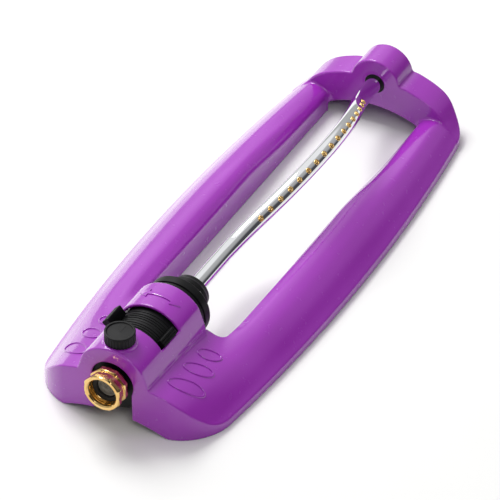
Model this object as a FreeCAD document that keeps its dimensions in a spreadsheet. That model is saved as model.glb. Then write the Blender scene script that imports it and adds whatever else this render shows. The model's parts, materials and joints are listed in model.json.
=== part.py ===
"""Oscillating lawn sprinkler: a ring-shaped cast base, a water motor in its front tunnel, and an arched
spray tube that the motor swings from side to side.

It is modelled in millimetres: X to the right, Y from the inlet to the rear, Z up. Y = 0 is the front
wall, Z = 0 is the ground, and X = 0 is the plane of symmetry of the base. On export every piece moves
along Y together, so that the origin is on the ground below the middle of the whole part.
"""
import FreeCAD, Part
import math
import os
import Sketcher
from FreeCAD import Placement, Rotation, Vector

doc = FreeCAD.newDocument("oscillating_sprinkler")
sheet = doc.addObject("Spreadsheet::Sheet", "Dims")

# ---------------------------------------------------------------- driving dimensions
DIMENSIONS = [
    # base casting
    ("base_length", 512, "front wall to rear wall"),
    ("base_half_width", 99, "widest half width, at mid length"),
    ("end_half_width", 86.5, "half width where the sides meet the rear corners"),
    ("lip_height", 6, "upright lip round the base"),
    ("wall", 2.8, "wall of the casting"),
    ("side_front", 38, "from the front wall to where the side arcs start"),
    ("side_rear", 42, "from where the side arcs end to the rear wall"),
    ("front_bulge", 5.5, "how far the front wall curves back at front_reach"),
    ("front_reach", 64, "half width at which front_bulge is measured"),
    ("rear_bulge", 2, "how far the rear wall curves forward at its ends"),
    ("front_corner", 34, "plan radius of the front corners"),
    ("rear_corner", 26, "plan radius of the rear corners"),
    ("opening_front", 107, "where the central opening starts"),
    ("rear_depth", 30, "from the end of the central opening to the rear wall"),
    ("opening_half", 46.5, "half width of the central opening"),
    ("opening_corner", 8, "plan radius of the opening's corners"),
    ("platform_height", 50, "wing height beside the tunnel"),
    ("rail_height", 33, "crest of the side rails"),
    ("rear_height", 49, "top of the rear cross piece"),
    ("axis_height", 44.7, "height of the swing axis"),
    ("motor_gap", 1.5, "clearance between the motor and the tunnel"),
    ("tunnel_length", 100, "length of the tunnel"),
    ("tunnel_flare", 0.9, "how far the tunnel widens down to the wings"),
    ("slot_front", 36, "front edge of the range slot"),
    ("slot_rear", 66, "rear edge of the range slot"),
    ("slot_half_angle", 57, "half angle of the range slot, degrees"),
    ("hump_radius", 24.3, "outside of the rear hump"),
    ("nut_gap", 1.5, "clearance between the swivel nut and the front hole"),
    ("foot_arch", 12, "height of the arch under the front wall"),
    ("rear_arch", 20, "height of the arch under the rear cross piece"),
    ("arch_radius", 105, "radius of both arches"),
    ("rim_raise", 0.8, "how far the oval rims and the arrow stand proud"),
    # inlet
    ("nut_front", -16.9, "front face of the swivel nut"),
    ("nut_rear", -1.4, "rear face of the swivel nut"),
    ("nut_radius", 18, "swivel nut, centre to corner"),
    ("hose_thread", 13, "radius of the hose thread bore"),
    ("tail_radius", 11.5, "outside of the inlet tailpiece"),
    ("tail_bore", 9, "bore of the inlet tailpiece"),
    ("tail_flange", 12.6, "flange that the nut pulls on"),
    ("slack", 0.3, "clearance between parts that turn but aren't fitted"),
    ("fit_gap", 0.05, "radial running clearance of fitted bearings"),
    # motor housing
    ("motor_radius", 29.3, "outside of the motor housing"),
    ("motor_front", 4, "front face of the motor"),
    ("motor_split", 68, "joint between the two halves of the housing"),
    ("motor_rear", 117, "rear face of the motor"),
    ("motor_wall", 2.4, "wall of the housing"),
    ("neck_step", 2.3, "how far the neck for the range rings is let into the housing"),
    ("ring_width", 11.4, "width of a range ring"),
    ("tab_height", 10, "how far the left tab reaches out of its ring"),
    ("low_tab_height", 5.2, "how far the right tab reaches out of its ring"),
    ("tab_length", 21.5, "length of a tab, which bridges the other ring"),
    ("tab_half_angle", 6, "half the angle that a tab covers"),
    ("valve_y", 15.5, "valve stem, behind the front wall"),
    ("valve_radius", 7, "radius of the valve plug"),
    ("stem_radius", 3.2, "radius of the valve stem"),
    ("knob_radius", 13.2, "outside of the flow knob"),
    ("knob_height", 10.4, "height of the flow knob"),
    ("knob_sink", 0.2, "how far the knob's underside is let into the tunnel's crest"),
    # gear train
    ("gear_gap", 1.0325, "clearance between a wheel on the arbor and the neck's bore"),
    ("tip_height", 0.85, "addendum of the teeth, in modules"),
    ("wheel_teeth", 35, "teeth of each wheel"),
    ("pinion_teeth", 14, "teeth of each pinion"),
    ("gear_face", 4, "face width of a wheel"),
    ("arbor_radius", 1.5, "radius of the turbine shaft and of the lay arbor"),
    ("turbine_radius", 14, "radius of the turbine wheel"),
    ("turbine_front", 41, "front of the turbine wheel"),
    ("turbine_width", 8, "width of the turbine wheel"),
    ("train_front", 56, "front of the first gear stage"),
    # spray tube
    ("tube_radius", 7.5, "outside of the spray tube"),
    ("tube_wall", 0.9, "wall of the spray tube"),
    ("shaft_radius", 8, "outside of the output shaft"),
    ("shaft_bore", 5, "water passage in the output shaft"),
    ("collar_radius", 18.6, "outside of the tube collar"),
    ("collar_rear", 140, "rear face of the tube collar"),
    ("bow_start", 190, "where the tube starts to bend"),
    ("bow_angle", 30.8, "slope of the tube where it crosses from bend to bow"),
    ("bend_radius", 102, "radius of the two end bends"),
    ("swing_rest", 41, "angle of the tube from upright at rest, degrees"),
    ("nozzle_count", 17, "number of nozzles"),
    ("nozzle_pitch", 12.4, "distance between nozzles along the tube"),
    ("nozzle_start", 52.8, "first nozzle, along the tube from the start of the bend"),
    ("nozzle_flange", 2.7, "radius of a nozzle's flange"),
    ("bush_wall", 1.15, "wall of the rear pivot bush"),
    ("bush_length", 15, "length of the rear pivot bush"),
    ("strap_y", 84, "where the retaining strap holds the motor"),
    ("strap_width", 9, "width of the retaining strap"),
    ("strap_screw_x", 39, "half distance between the strap's screws"),
    ("strap_seat", 31, "height of the bosses that the strap is screwed to"),
    ("strap_gauge", 1.6, "thickness of the retaining strap"),
    ("post_radius", 4, "radius of the bosses that the strap is screwed to"),
    ("strap_screw", 1.6, "radius of the strap's screws"),
]
# Sizes that follow from the driving ones, so that what fits together stays together.
FOLLOWING = [
    ("opening_rear", "=base_length - rear_depth", "where the central opening ends"),
    ("tunnel_radius", "=motor_radius + motor_gap + wall", "outside of the tunnel"),
    ("tunnel_foot", "=tunnel_radius + tunnel_flare", "half width of the tunnel where it meets the wings"),
    ("front_hole", "=nut_radius + nut_gap", "radius of the hole round the inlet"),
    ("neck_radius", "=motor_radius - neck_step", "neck that the range rings turn on"),
    ("knob_top", "=axis_height + tunnel_radius + knob_height - knob_sink", "top of the flow knob"),
    ("gear_module", "=(neck_radius - motor_wall - gear_gap) / (wheel_teeth + pinion_teeth / 2 + tip_height)",
     "module of all gears, the largest that the neck's bore has room for"),
    ("bush_radius", "=tube_radius + fit_gap + bush_wall", "outside of the rear pivot bush"),
]
for row, (alias, value, note) in enumerate(DIMENSIONS + FOLLOWING, start=1):
    sheet.set(f"A{row}", alias)
    sheet.set(f"B{row}", str(value))
    sheet.set(f"C{row}", note)
    sheet.setAlias(f"B{row}", alias)
doc.recompute()


def size(alias):
    """The value of one cell of the sheet."""
    return float(sheet.get(alias))


def value_of(text):
    """The value of an expression over the sheet, for a first drawing before the expressions bind."""
    sheet.set("E1", "=" + text.replace("Dims.", ""))
    sheet.recompute()
    return float(sheet.get("E1"))


AXIS = "Dims.axis_height"
ALONG_Y = Rotation(Vector(1, 0, 0), -90)   # turns local +Z to +Y


def bound(obj, expressions):
    """Binds each property of obj to its expression."""
    for prop, text in expressions.items():
        obj.setExpression(prop, text)
    return obj


def placed(obj, x="0", y="0", z="0", rotation=None):
    """Places obj at three expressions."""
    if rotation is not None:
        obj.Placement = Placement(Vector(0, 0, 0), rotation)
    return bound(obj, {"Placement.Base.x": x, "Placement.Base.y": y, "Placement.Base.z": z})


def cylinder_y(name, radius, start, end, x="0", z=AXIS):
    """A cylinder along Y from start to end, centred on the swing axis unless x or z says otherwise."""
    obj = doc.addObject("Part::Cylinder", name)
    placed(obj, x, start, z, ALONG_Y)
    return bound(obj, {"Radius": radius, "Height": f"({end}) - ({start})"})


def cylinder_z(name, radius, bottom, top, x="0", y="0"):
    """An upright cylinder from bottom to top."""
    obj = doc.addObject("Part::Cylinder", name)
    placed(obj, x, y, bottom)
    return bound(obj, {"Radius": radius, "Height": f"({top}) - ({bottom})"})


def block(name, low, high):
    """A box between two corners, each of three expressions."""
    obj = doc.addObject("Part::Box", name)
    placed(obj, *low)
    sides = [f"({b}) - ({a})" for a, b in zip(low, high)]
    return bound(obj, dict(zip(("Length", "Width", "Height"), sides)))


def fused(name, parts):
    """The union of several objects."""
    obj = doc.addObject("Part::MultiFuse", name)
    obj.Shapes = parts
    obj.Refine = True
    return obj


def cut(name, base, tools):
    """base with the tools taken away."""
    tool = tools[0] if len(tools) == 1 else fused(name + "_tools", tools)
    obj = doc.addObject("Part::Cut", name)
    obj.Base = base
    obj.Tool = tool
    obj.Refine = True
    return obj


def plane_of(body, role):
    """One of the body's own origin planes."""
    return next(f for f in body.Origin.OriginFeatures if f.Role == role)


def turned(name, outline, rotation=None):
    """A PartDesign body turned about the swing axis. The outline is a list of (y, radius) expressions."""
    body = doc.addObject("PartDesign::Body", name)
    placed(body, z=AXIS, rotation=rotation)
    sketch = body.newObject("Sketcher::SketchObject", name + "_outline")
    sketch.AttachmentSupport = [(plane_of(body, "YZ_Plane"), "")]
    sketch.MapMode = "FlatFace"
    points = [Vector(value_of(y), value_of(r), 0) for y, r in outline]
    for i, point in enumerate(points):
        sketch.addGeometry(Part.LineSegment(point, points[(i + 1) % len(points)]), False)
    for i in range(len(points)):
        following = (i + 1) % len(points)
        sketch.addConstraint(Sketcher.Constraint("Coincident", i, 2, following, 1))
    for i, (y, radius) in enumerate(outline):
        for kind, text, value in (("DistanceX", y, points[i].x), ("DistanceY", radius, points[i].y)):
            index = sketch.addConstraint(Sketcher.Constraint(kind, i, 1, value))
            sketch.setExpression(f"Constraints[{index}]", text)
    turn = body.newObject("PartDesign::Revolution", name + "_turn")
    turn.Profile = sketch
    turn.ReferenceAxis = (sketch, ["H_Axis"])
    turn.Angle = 360
    body.Tip = turn
    return body


def own_shape(name, shape, placement=None):
    """A Part::Feature for a shape made with Part's own functions."""
    obj = doc.addObject("Part::Feature", name)
    obj.Shape = shape
    if placement is not None:
        obj.Placement = placement
    return obj


def d(alias):
    """The expression that reads one cell."""
    return "Dims." + alias


# ---------------------------------------------------------------- base casting
# Height of the top skin at seven stations along the base. Each row is the station, then the height at
# each share of the half width. Rows 1 to 3 scale with the platform, and the others with the rails.
SHARES = [0, 0.30, 0.46, 0.52, 0.60, 0.72, 0.84, 0.93, 1.0]
PLATFORM_ROWS = [
    (-0.08, [1.00, 0.976, 0.924, 0.892, 0.840, 0.690, 0.446, 0.230]),
    (0.47, [0.98, 0.930, 0.840, 0.800, 0.744, 0.620, 0.420, 0.230]),
    (0.97, [0.86, 0.780, 0.680, 0.646, 0.626, 0.556, 0.400, 0.236]),
]
RAIL_ROWS = [
    (0.09, [0.90, 0.85, 0.82, 0.88, 0.970, 0.894, 0.650, 0.370]),
    (0.30, [0.60, 0.63, 0.76, 0.90, 0.990, 0.905, 0.670, 0.385]),
    (0.55, [0.50, 0.55, 0.73, 0.91, 1.000, 0.909, 0.676, 0.388]),
    (0.80, [0.20, 0.26, 0.44, 0.60, 0.780, 0.810, 0.620, 0.374]),
    (1.10, [0.20, 0.22, 0.34, 0.455, 0.621, 0.721, 0.576, 0.358]),
]
REAR_PROFILE = [(0, 1.0), (27, 0.984), (40, 0.914), (54, 0.784), (64, 0.624), (71, 0.439), (78, 0.255),
                (86, 0.122)]
FLOOR_CUT = -2      # how far the inner hollow reaches below the ground plane
TALL = 130          # taller than the whole base
RUN_OUT = 8         # how far the skin's surface runs on in front of the front wall
SKIN_ROWS, SKIN_COLUMNS = 22, 12


def half_width(y):
    """Half width of the base at y, on the arc that runs along its side."""
    reach = size("base_half_width") - size("end_half_width")
    half_length = (size("base_length") - size("side_front") - size("side_rear")) / 2
    radius = (half_length ** 2 + reach ** 2) / (2 * reach)
    off_centre = y - (size("side_front") + half_length)
    return size("base_half_width") - radius + math.sqrt(radius ** 2 - off_centre ** 2)


def stations():
    """Each station's y and the heights of the top skin there, out to the lip."""
    front = size("opening_front")
    span = size("opening_rear") - front
    rows = [(front * share, [size("platform_height") * k for k in row]) for share, row in PLATFORM_ROWS]
    rows += [(front + span * share, [size("rail_height") * k for k in row]) for share, row in RAIL_ROWS]
    return [(y, row + [size("lip_height")]) for y, row in rows]


def smooth_through(xs, values, x):
    """A curve through the values that doesn't overshoot: cubic, with the slopes of a monotone fit."""
    last = len(xs) - 1
    slopes = [(values[i + 1] - values[i]) / (xs[i + 1] - xs[i]) for i in range(last)]
    i = min(max(sum(x >= node for node in xs) - 1, 0), last - 1)

    def tangent(k):
        if k == 0 or k == last:
            return slopes[0] if k == 0 else slopes[-1]
        before, after = slopes[k - 1], slopes[k]
        return 0 if before * after <= 0 else 2 * before * after / (before + after)

    step = xs[i + 1] - xs[i]
    t = (x - xs[i]) / step
    rise = values[i + 1] - values[i]
    m0, m1 = tangent(i) * step, tangent(i + 1) * step
    return values[i] + t * (m0 + t * (3 * rise - 2 * m0 - m1 + t * (m0 + m1 - 2 * rise)))


def top_height(y, share):
    """Height of the filled base at y and at a share of the half width."""
    rows = stations()
    across = [smooth_through(SHARES, heights, share) for _, heights in rows]
    return smooth_through([station for station, _ in rows], across, y)


def top_wire(y, widths, heights, bottom):
    """A closed section: flat bottom, two upright lips and one smooth top curve."""
    right = [Vector(x, y, z) for x, z in zip(widths, heights)]
    left = [Vector(-p.x, p.y, p.z) for p in reversed(right[1:])]
    top = Part.BSplineCurve()
    top.interpolate(left + right)
    low_left = Vector(-widths[-1], y, bottom)
    low_right = Vector(widths[-1], y, bottom)
    edges = [Part.LineSegment(low_left, low_right).toShape(),
             Part.LineSegment(low_right, right[-1]).toShape(),
             top.toShape(),
             Part.LineSegment(left[0], low_left).toShape()]
    return Part.Wire(Part.__sortEdges__(edges))


def mound(inset):
    """The filled wings and rails, with their skin moved in by inset."""
    bottom = FLOOR_CUT if inset > 0 else 0
    length = size("base_length")
    grid = []
    for j in range(SKIN_ROWS + 1):
        y = -RUN_OUT + (length + RUN_OUT) * j / SKIN_ROWS
        width = half_width(min(max(y, 0), length)) + 1 - inset
        shares = [i / SKIN_COLUMNS for i in range(SKIN_COLUMNS + 1)]
        right = [Vector(share * width, y, top_height(y, share) - inset) for share in shares]
        grid.append([Vector(-p.x, p.y, p.z) for p in reversed(right[1:])] + right)
    top = Part.BSplineSurface()
    top.interpolate(grid)
    filled = top.toShape().extrude(Vector(0, 0, -2 * TALL))
    wide = 4 * size("base_half_width")
    above_ground = Part.makeBox(wide, length + 4 * RUN_OUT, TALL, Vector(-wide / 2, -2 * RUN_OUT, bottom))
    return filled.common(above_ground)


def outline_face(inset):
    """The plan outline of the base, moved in by inset: four arcs with rounded corners."""
    length = size("base_length")
    middle = length / 2
    front_x = half_width(size("front_bulge")) - inset
    rear_x = half_width(length - size("rear_bulge")) - inset
    front_y = size("front_bulge") * (front_x / size("front_reach")) ** 2 + inset
    rear_y = length - size("rear_bulge") - inset
    side_x = half_width(middle) - inset
    corners = [Vector(-front_x, front_y, 0), Vector(front_x, front_y, 0),
               Vector(rear_x, rear_y, 0), Vector(-rear_x, rear_y, 0)]
    bulges = [Vector(0, inset, 0), Vector(side_x, middle, 0),
              Vector(0, length - inset, 0), Vector(-side_x, middle, 0)]
    arcs = [Part.Arc(corners[i], bulges[i], corners[(i + 1) % 4]).toShape() for i in range(4)]
    slab = Part.Face(Part.Wire(arcs)).extrude(Vector(0, 0, 1))
    for radius, at_front in ((size("front_corner"), True), (size("rear_corner"), False)):
        sharp = [e for e in slab.Edges if abs(e.BoundBox.ZLength - 1) < 1e-6
                 and any(abs(e.BoundBox.YMin - c.y) < 1e-6 for c in corners)
                 and (e.BoundBox.YMin < middle) == at_front]
        slab = slab.makeFillet(radius - inset, sharp)
    return next(f for f in slab.Faces if f.normalAt(0, 0).z > 0.9)


def plan_prism(inset):
    """The outline as a tall prism."""
    face = outline_face(inset)
    face.translate(Vector(0, 0, FLOOR_CUT - 2))
    return face.extrude(Vector(0, 0, TALL))


def rounded_box(x_half, y_low, y_high, z_low, z_high, radius):
    """A box with its upright edges rounded."""
    solid = Part.makeBox(2 * x_half, y_high - y_low, z_high - z_low, Vector(-x_half, y_low, z_low))
    upright = [e for e in solid.Edges if abs(e.BoundBox.ZLength - (z_high - z_low)) < 1e-6]
    return solid.makeFillet(radius, upright)


def opening_prism(inset):
    """The central opening, grown by inset."""
    return rounded_box(size("opening_half") + inset, size("opening_front") - inset,
                       size("opening_rear") + inset, FLOOR_CUT - 3, TALL, size("opening_corner") + inset)


def arch(radius, half_angle, foot, y_low, y_high, bottom):
    """A tunnel: an arc over the swing axis, straight flanks, and a filled foot down to bottom."""
    z = size("axis_height")
    angle = math.radians(half_angle)
    shoulder = (radius * math.sin(angle), z + radius * math.cos(angle))
    right = [Vector(shoulder[0], y_low, shoulder[1]), Vector(foot, y_low, z), Vector(foot, y_low, bottom)]
    left = [Vector(-p.x, p.y, p.z) for p in reversed(right)]
    crown = Part.Arc(left[-1], Vector(0, y_low, z + radius), right[0]).toShape()
    loop = right + left
    sides = [(a, b) for a, b in zip(loop, loop[1:]) if a.distanceToPoint(b) > 1e-6]
    edges = [crown] + [Part.LineSegment(a, b).toShape() for a, b in sides]
    return Part.Face(Part.Wire(edges)).extrude(Vector(0, y_high - y_low, 0))


def rear_block(inset):
    """The filled rear cross piece with its hump."""
    front = size("opening_rear") + inset
    rear = size("base_length") + 5
    bottom = FLOOR_CUT if inset > 0 else 0
    widths = [x - inset * (x > 0) * 0.5 for x, _ in REAR_PROFILE]
    heights = [share * size("rear_height") - inset for _, share in REAR_PROFILE]
    wire = top_wire(front, widths, heights, bottom)
    block_solid = Part.Face(wire).extrude(Vector(0, rear - front, 0))
    radius = size("hump_radius") - inset
    hump = arch(radius, 80, radius, front, rear, bottom)
    return block_solid.fuse(hump)


def skin(inset):
    """The whole base, filled, with every outer surface moved in by inset."""
    filled = mound(inset).fuse(rear_block(inset))
    filled = filled.common(plan_prism(inset)).cut(opening_prism(inset))
    bottom = FLOOR_CUT if inset > 0 else 0
    if inset > 0:
        passage = arch(size("tunnel_radius") - inset, 90, size("tunnel_radius") - inset, inset,
                       size("opening_front") + 1, bottom)
        return filled.fuse(passage.common(plan_prism(inset)))
    tunnel = arch(size("tunnel_radius"), size("slot_half_angle"), size("tunnel_foot"), 0,
                  size("tunnel_length"), bottom)
    return filled.fuse(tunnel.common(plan_prism(0)))


def oval_rims():
    """Three raised oval rims on each wing, the largest at the front."""
    raised = mound(-size("rim_raise"))
    sunk = mound(size("wall") / 2)
    rims = []
    for x, y, long_half, short_half in ((53, 31.4, 15.5, 7.2), (51.2, 56, 12.8, 6.9), (49, 79, 10.3, 6.7)):
        for side in (1, -1):
            tilt = Rotation(Vector(0, 0, 1), side * 30)
            outer = Part.Face(Part.Wire(Part.Ellipse(Vector(), long_half, short_half).toShape()))
            inner = Part.Face(Part.Wire(Part.Ellipse(Vector(), long_half - 1.3, short_half - 1.3).toShape()))
            ring = outer.cut(inner).extrude(Vector(0, 0, 60))
            ring.Placement = Placement(Vector(side * x, y, 10), tilt)
            rims.append(ring.common(raised).cut(sunk))
    return rims


def tunnel_arrow():
    """A plain two-headed arrow that stands proud of the band behind the range slot."""
    middle = (size("slot_rear") + size("tunnel_length")) / 2
    tip, neck, head, bar = 19, 11, 5.4, 1.8
    right = [(0, bar), (neck, bar), (neck, head), (tip, 0), (neck, -head), (neck, -bar), (0, -bar)]
    loop = right + [(-x, y) for x, y in reversed(right[1:-1])]
    points = [Vector(x, middle + y, size("axis_height")) for x, y in loop]
    face = Part.Face(Part.makePolygon(points + points[:1]))
    prism = face.extrude(Vector(0, 0, 60))
    shell = Part.makeCylinder(size("tunnel_radius") + size("rim_raise"), size("tunnel_length"),
                              Vector(0, 0, size("axis_height")), Vector(0, 1, 0))
    core = Part.makeCylinder(size("tunnel_radius") - size("wall") / 2, size("tunnel_length"),
                             Vector(0, 0, size("axis_height")), Vector(0, 1, 0))
    return prism.common(shell).cut(core)


def strap_bosses():
    """The bosses that the strap is screwed to, which run up into the skin of the wings."""
    under_skin = mound(size("wall") / 2)
    bosses = []
    for side in (1, -1):
        foot = Vector(side * size("strap_screw_x"), size("strap_y"), size("strap_seat"))
        bosses.append(Part.makeCylinder(size("post_radius"), TALL, foot).common(under_skin))
    return bosses


outer_skin = own_shape("outer_skin", skin(0))
inner_skin = own_shape("inner_skin", skin(size("wall")))
relief = own_shape("relief", Part.makeCompound(oval_rims() + [tunnel_arrow()]))
strap_posts = own_shape("strap_posts", Part.makeCompound(strap_bosses()))

knob_bottom = "Dims.knob_top - Dims.knob_height"
knob_seat = cylinder_z("knob_seat", "Dims.knob_radius + 1.2", AXIS + " + Dims.tunnel_radius - 6",
                       knob_bottom + " - Dims.slack", y=d("valve_y"))
pivot_boss = cylinder_y("pivot_boss", "Dims.bush_radius + 2.8", d("opening_rear"),
                        "Dims.opening_rear + Dims.bush_length")
shell_filled = fused("base_filled", [outer_skin, knob_seat])
shell_hollow = cut("base_shell", shell_filled, [inner_skin])

knob_flat = cylinder_z("knob_flat", "Dims.knob_radius + Dims.slack", knob_bottom + " - Dims.slack",
                       "Dims.knob_top", y=d("valve_y"))
stem_hole = cylinder_z("stem_hole", "Dims.stem_radius + Dims.slack", AXIS, "Dims.knob_top", y=d("valve_y"))
inlet_hole = cylinder_y("inlet_hole", d("front_hole"), "-5", "Dims.wall + 1")
foot_arch = cylinder_y("foot_arch", d("arch_radius"), "-5", "Dims.wall + Dims.front_bulge",
                       z="Dims.foot_arch - Dims.arch_radius")
inlet_way = block("inlet_way", ("1.5 - Dims.front_hole", "-5", "-5"),
                  ("Dims.front_hole - 1.5", "Dims.wall + Dims.front_bulge", AXIS))
rear_arch = cylinder_y("rear_arch", d("arch_radius"), "Dims.opening_rear - 2",
                       "Dims.opening_rear + Dims.wall + 8", z="Dims.rear_arch - Dims.arch_radius")
range_slot = cylinder_y("range_slot", "Dims.tunnel_radius + 5", d("slot_front"), d("slot_rear"))
bound(range_slot, {"Angle": "2 * Dims.slot_half_angle"})
pivot_hole = cylinder_y("pivot_hole", d("bush_radius"), "Dims.opening_rear - 1",
                        "Dims.opening_rear + Dims.bush_length + 1")
doc.recompute()
half_slot = size("slot_half_angle")
# The sector starts at local +X and turns towards local +Y, which points down, so it is turned back
# until its middle points up.
range_slot.Placement.Rotation = ALONG_Y.multiply(Rotation(Vector(0, 0, 1), -90 - half_slot))
base_body = fused("base_joined", [shell_hollow, pivot_boss, relief, strap_posts])
base_frame = cut("base_frame", base_body, [inlet_hole, foot_arch, inlet_way, rear_arch, range_slot,
                                           pivot_hole, knob_flat, stem_hole])


# ---------------------------------------------------------------- inlet
TAIL_FRONT = "Dims.nut_rear - 5.2"
WASHER_FRONT = TAIL_FRONT + " - 2.4"
TAIL_END = "Dims.valve_y - Dims.valve_radius - 0.5"

tailpiece = turned("inlet_tailpiece", [
    (TAIL_FRONT, d("tail_bore")), (TAIL_FRONT, d("tail_flange")),
    (TAIL_FRONT + " + 3", d("tail_flange")), (TAIL_FRONT + " + 3", d("tail_radius")),
    (TAIL_END, d("tail_radius")), (TAIL_END, d("tail_bore"))])

washer = turned("hose_washer", [
    (WASHER_FRONT, "Dims.tail_bore + 0.4"), (WASHER_FRONT, "Dims.hose_thread - Dims.slack"),
    (TAIL_FRONT, "Dims.hose_thread - Dims.slack"), (TAIL_FRONT, "Dims.tail_bore + 0.4")])

DOME = "Dims.tail_bore - 0.3"
DOME_BALL = 17      # radius of the ball that the shallow dome is part of
DOME_CENTRE = f"{TAIL_FRONT} + sqrt({DOME_BALL} ^ 2 - ({DOME}) ^ 2)"
filter_seat = turned("filter_rim", [
    (TAIL_FRONT + " - 0.4", "Dims.tail_bore - 1.3"), (TAIL_FRONT + " - 0.4", DOME),
    (TAIL_FRONT + " + 4", DOME), (TAIL_FRONT + " + 4", "Dims.tail_bore - 1.3")])
dome_out = doc.addObject("Part::Sphere", "filter_dome_out")
placed(dome_out, y=DOME_CENTRE, z=AXIS)
bound(dome_out, {"Radius": str(DOME_BALL)})
dome_in = doc.addObject("Part::Sphere", "filter_dome_in")
placed(dome_in, y=DOME_CENTRE, z=AXIS)
bound(dome_in, {"Radius": str(DOME_BALL - 0.8)})
dome_shell = cut("filter_dome_shell", dome_out, [dome_in])
behind = block("filter_dome_cutter", ("-20", TAIL_FRONT, AXIS + " - 20"),
               ("20", TAIL_END + " + 30", AXIS + " + 20"))
dome = cut("filter_dome", dome_shell, [behind])
inlet_filter = fused("inlet_filter", [dome, filter_seat])

nut_hex = doc.addObject("Part::Prism", "nut_eight_sided")
placed(nut_hex, y=d("nut_front"), z=AXIS, rotation=ALONG_Y)
nut_hex.Polygon = 8
bound(nut_hex, {"Circumradius": d("nut_radius"), "Height": "Dims.nut_rear - Dims.nut_front"})
nut_waist = turned("nut_waist", [
    ("Dims.nut_front + 5.2", "Dims.nut_radius - 2.6"), ("Dims.nut_front + 5.2", "Dims.nut_radius + 3"),
    ("Dims.nut_rear - 5.4", "Dims.nut_radius + 3"), ("Dims.nut_rear - 5.4", "Dims.nut_radius - 2.6")])
nut_bore = turned("nut_bore", [
    ("Dims.nut_front - 1", "0"), ("Dims.nut_front - 1", "Dims.hose_thread + 1"),
    (d("nut_front"), "Dims.hose_thread + 1"), ("Dims.nut_front + 1", d("hose_thread")),
    (WASHER_FRONT, d("hose_thread")), (WASHER_FRONT, "Dims.hose_thread + 0.4"),
    (TAIL_FRONT + " + 3 + Dims.slack", "Dims.hose_thread + 0.4"),
    (TAIL_FRONT + " + 3 + Dims.slack", "Dims.tail_radius + Dims.slack"),
    ("Dims.nut_rear + 1", "Dims.tail_radius + Dims.slack"), ("Dims.nut_rear + 1", "0")])
swivel_nut = cut("swivel_nut", nut_hex, [nut_waist, nut_bore])

# ---------------------------------------------------------------- motor housing
RING_A = "Dims.slot_front + 2.5"
RING_B = RING_A + " + Dims.ring_width + Dims.slack"
NECK_END = RING_B + " + Dims.ring_width + Dims.slack"
CAVITY = "Dims.motor_radius - Dims.motor_wall"
BORE_RADIUS = "5.5"
VALVE_FLOOR = AXIS + " - Dims.valve_radius - 1"

front_case_skin = turned("front_case_skin", [
    (d("motor_front"), "0"), (d("motor_front"), "Dims.motor_radius - 2"),
    ("Dims.motor_front + 2", d("motor_radius")), (RING_A + " - Dims.slack", d("motor_radius")),
    (RING_A + " - Dims.slack", d("neck_radius")), (NECK_END, d("neck_radius")),
    (NECK_END, d("motor_radius")), (d("motor_split"), d("motor_radius")),
    (d("motor_split"), "Dims.neck_radius - Dims.motor_wall"),
    ("Dims.turbine_front - 3", "Dims.neck_radius - Dims.motor_wall"), ("Dims.turbine_front - 3", "0")])
front_case_hollow = turned("front_case_hollow", [
    ("Dims.motor_front + Dims.motor_wall", "Dims.tail_radius + 3"),
    ("Dims.motor_front + Dims.motor_wall", CAVITY),
    (RING_A + " - 3", CAVITY), (RING_A + " - 3", "Dims.tail_radius + 3")])
valve_tower = cylinder_z("valve_tower", "Dims.valve_radius + 2.4", AXIS + " - 12",
                         AXIS + " + Dims.motor_radius - 5.5", y=d("valve_y"))
valve_well = cylinder_z("valve_well", "Dims.valve_radius + Dims.fit_gap", VALVE_FLOOR,
                        AXIS + " + Dims.motor_radius - 7.9", y=d("valve_y"))
valve_neck = cylinder_z("valve_neck", "Dims.stem_radius + Dims.fit_gap", AXIS,
                        AXIS + " + Dims.motor_radius + 5", y=d("valve_y"))
tail_socket = cylinder_y("tail_socket", d("tail_radius"), "Dims.motor_front - 1", TAIL_END)
water_way = cylinder_y("water_way", BORE_RADIUS, "Dims.motor_front - 1", "Dims.turbine_front")
case_inside = cut("front_case_inside", front_case_skin, [front_case_hollow])
case_with_tower = fused("front_case_tower", [case_inside, valve_tower])
housing_front = cut("housing_front", case_with_tower,
                    [valve_well, valve_neck, tail_socket, water_way])

housing_rear = turned("housing_rear", [
    (d("motor_split"), CAVITY), (d("motor_split"), d("motor_radius")),
    ("Dims.motor_rear - 10", d("motor_radius")), ("Dims.motor_rear - 10", "Dims.motor_radius - 0.9"),
    ("Dims.motor_rear - 9", "Dims.motor_radius - 0.9"), ("Dims.motor_rear - 9", d("motor_radius")),
    ("Dims.motor_rear - 1.5", d("motor_radius")), (d("motor_rear"), "Dims.motor_radius - 1.5"),
    (d("motor_rear"), "Dims.shaft_radius + Dims.fit_gap"),
    ("Dims.motor_rear - 5", "Dims.shaft_radius + Dims.fit_gap"),
    ("Dims.motor_rear - 5", CAVITY)])
SCREW_RADIUS = "Dims.motor_radius - 5.2"
rear_case_plain = housing_rear
rear_case_plain.Label = "rear_case_plain"


def around(name, radius, start, end, count, distance, phase=45):
    """Cylinders along Y, evenly spaced round the swing axis."""
    holes = []
    for i in range(count):
        angle = math.radians(phase + 360 / count * i)
        x = f"({distance}) * {math.cos(angle):.6f}"
        z = AXIS + f" + ({distance}) * {math.sin(angle):.6f}"
        holes.append(cylinder_y(f"{name}_{i + 1}", radius, start, end, x, z))
    return holes


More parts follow.
